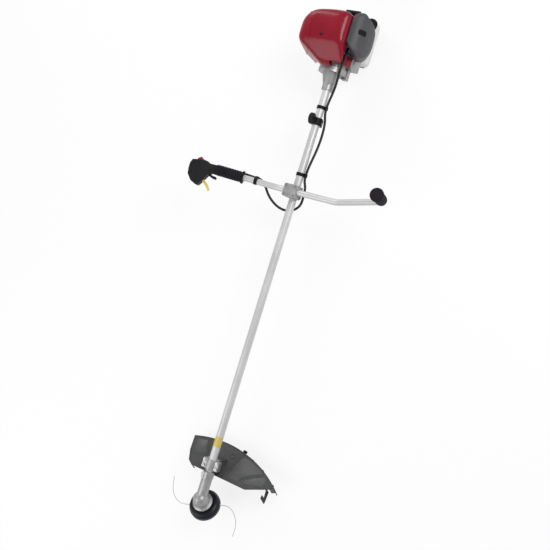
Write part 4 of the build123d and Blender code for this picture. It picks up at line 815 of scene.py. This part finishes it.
def pale_floor():
    """A floor that glows for the camera and in reflections only, so that it fades into the white."""
    bpy.ops.mesh.primitive_plane_add(size=FLOOR_SIZE, location=(0, 0, 0))
    floor = bpy.context.object
    floor.name = "floor"
    material = bpy.data.materials.new("pale floor")
    material.use_nodes = True
    tree = material.node_tree
    shader = tree.nodes["Principled BSDF"]
    shader.inputs["Base Color"].default_value = FLOOR_COLOUR
    shader.inputs["Roughness"].default_value = FLOOR_ROUGHNESS
    glow = tree.nodes.new("ShaderNodeEmission")
    glow.inputs["Strength"].default_value = GLOW_STRENGTH
    light_path = tree.nodes.new("ShaderNodeLightPath")
    seen = tree.nodes.new("ShaderNodeMath")
    seen.operation = "MAXIMUM"
    link(tree, light_path.outputs["Is Camera Ray"], seen.inputs[0])
    link(tree, light_path.outputs["Is Glossy Ray"], seen.inputs[1])
    share = tree.nodes.new("ShaderNodeMath")
    share.operation = "MULTIPLY"
    share.inputs[1].default_value = GLOW_SHARE
    link(tree, seen.outputs["Value"], share.inputs[0])
    mix = tree.nodes.new("ShaderNodeMixShader")
    link(tree, share.outputs["Value"], mix.inputs["Fac"])
    link(tree, shader.outputs["BSDF"], mix.inputs[1])
    link(tree, glow.outputs["Emission"], mix.inputs[2])
    link(tree, mix.outputs["Shader"], tree.nodes["Material Output"].inputs["Surface"])
    floor.data.materials.append(material)


def studio_world():
    """Even white light from all around."""
    world = bpy.data.worlds.new("studio")
    bpy.context.scene.world = world
    world.use_nodes = True
    background = world.node_tree.nodes["Background"]
    background.inputs["Color"].default_value = WORLD_COLOUR
    background.inputs["Strength"].default_value = WORLD_STRENGTH


def softbox(name, location, target, size, power):
    """A square studio lamp aimed at a point."""
    lamp = bpy.data.lights.new(name, "AREA")
    lamp.shape = "SQUARE"
    lamp.size = size
    lamp.energy = power
    holder = bpy.data.objects.new(name, lamp)
    bpy.context.collection.objects.link(holder)
    direction = Vector(target) - Vector(location)
    holder.rotation_euler = direction.to_track_quat("-Z", "Y").to_euler()
    holder.location = location


pale_floor()
studio_world()
for name, settings in LAMPS.items():
    softbox(name, *settings)

CAMERA_DISTANCE = 3200.0
FOCAL_MM = 58.84
SENSOR_MM = 36.0
AIM_BEHIND, AIM_SIDE = 840.0, 18.0
ROLL_ALONG, ROLL_SIDE = 0.2945, 0.9557      # sine and cosine of the tube's lean in the picture


def photo_camera():
    """The photograph's view: from above and the left, with the tube leaning in the picture."""
    toward_camera = Vector((0, math.sin(VIEW_LEAN), math.cos(VIEW_LEAN)))
    camera_right = ROLL_ALONG * back_way + ROLL_SIDE * side_way
    camera_up = ROLL_SIDE * back_way - ROLL_ALONG * side_way
    aim = AIM_BEHIND * back_way + AIM_SIDE * side_way
    camera_place = spindle_point + (aim + CAMERA_DISTANCE * toward_camera) * MM
    camera_data = bpy.data.cameras.new("camera")
    camera_data.sensor_width = SENSOR_MM
    camera_data.lens = FOCAL_MM
    camera = bpy.data.objects.new("camera", camera_data)
    bpy.context.collection.objects.link(camera)
    turn = Matrix((camera_right, camera_up, toward_camera)).transposed().to_4x4()
    camera.matrix_world = Matrix.Translation(camera_place) @ turn
    bpy.context.scene.camera = camera


photo_camera()
bpy.context.scene.view_settings.view_transform = "Standard"
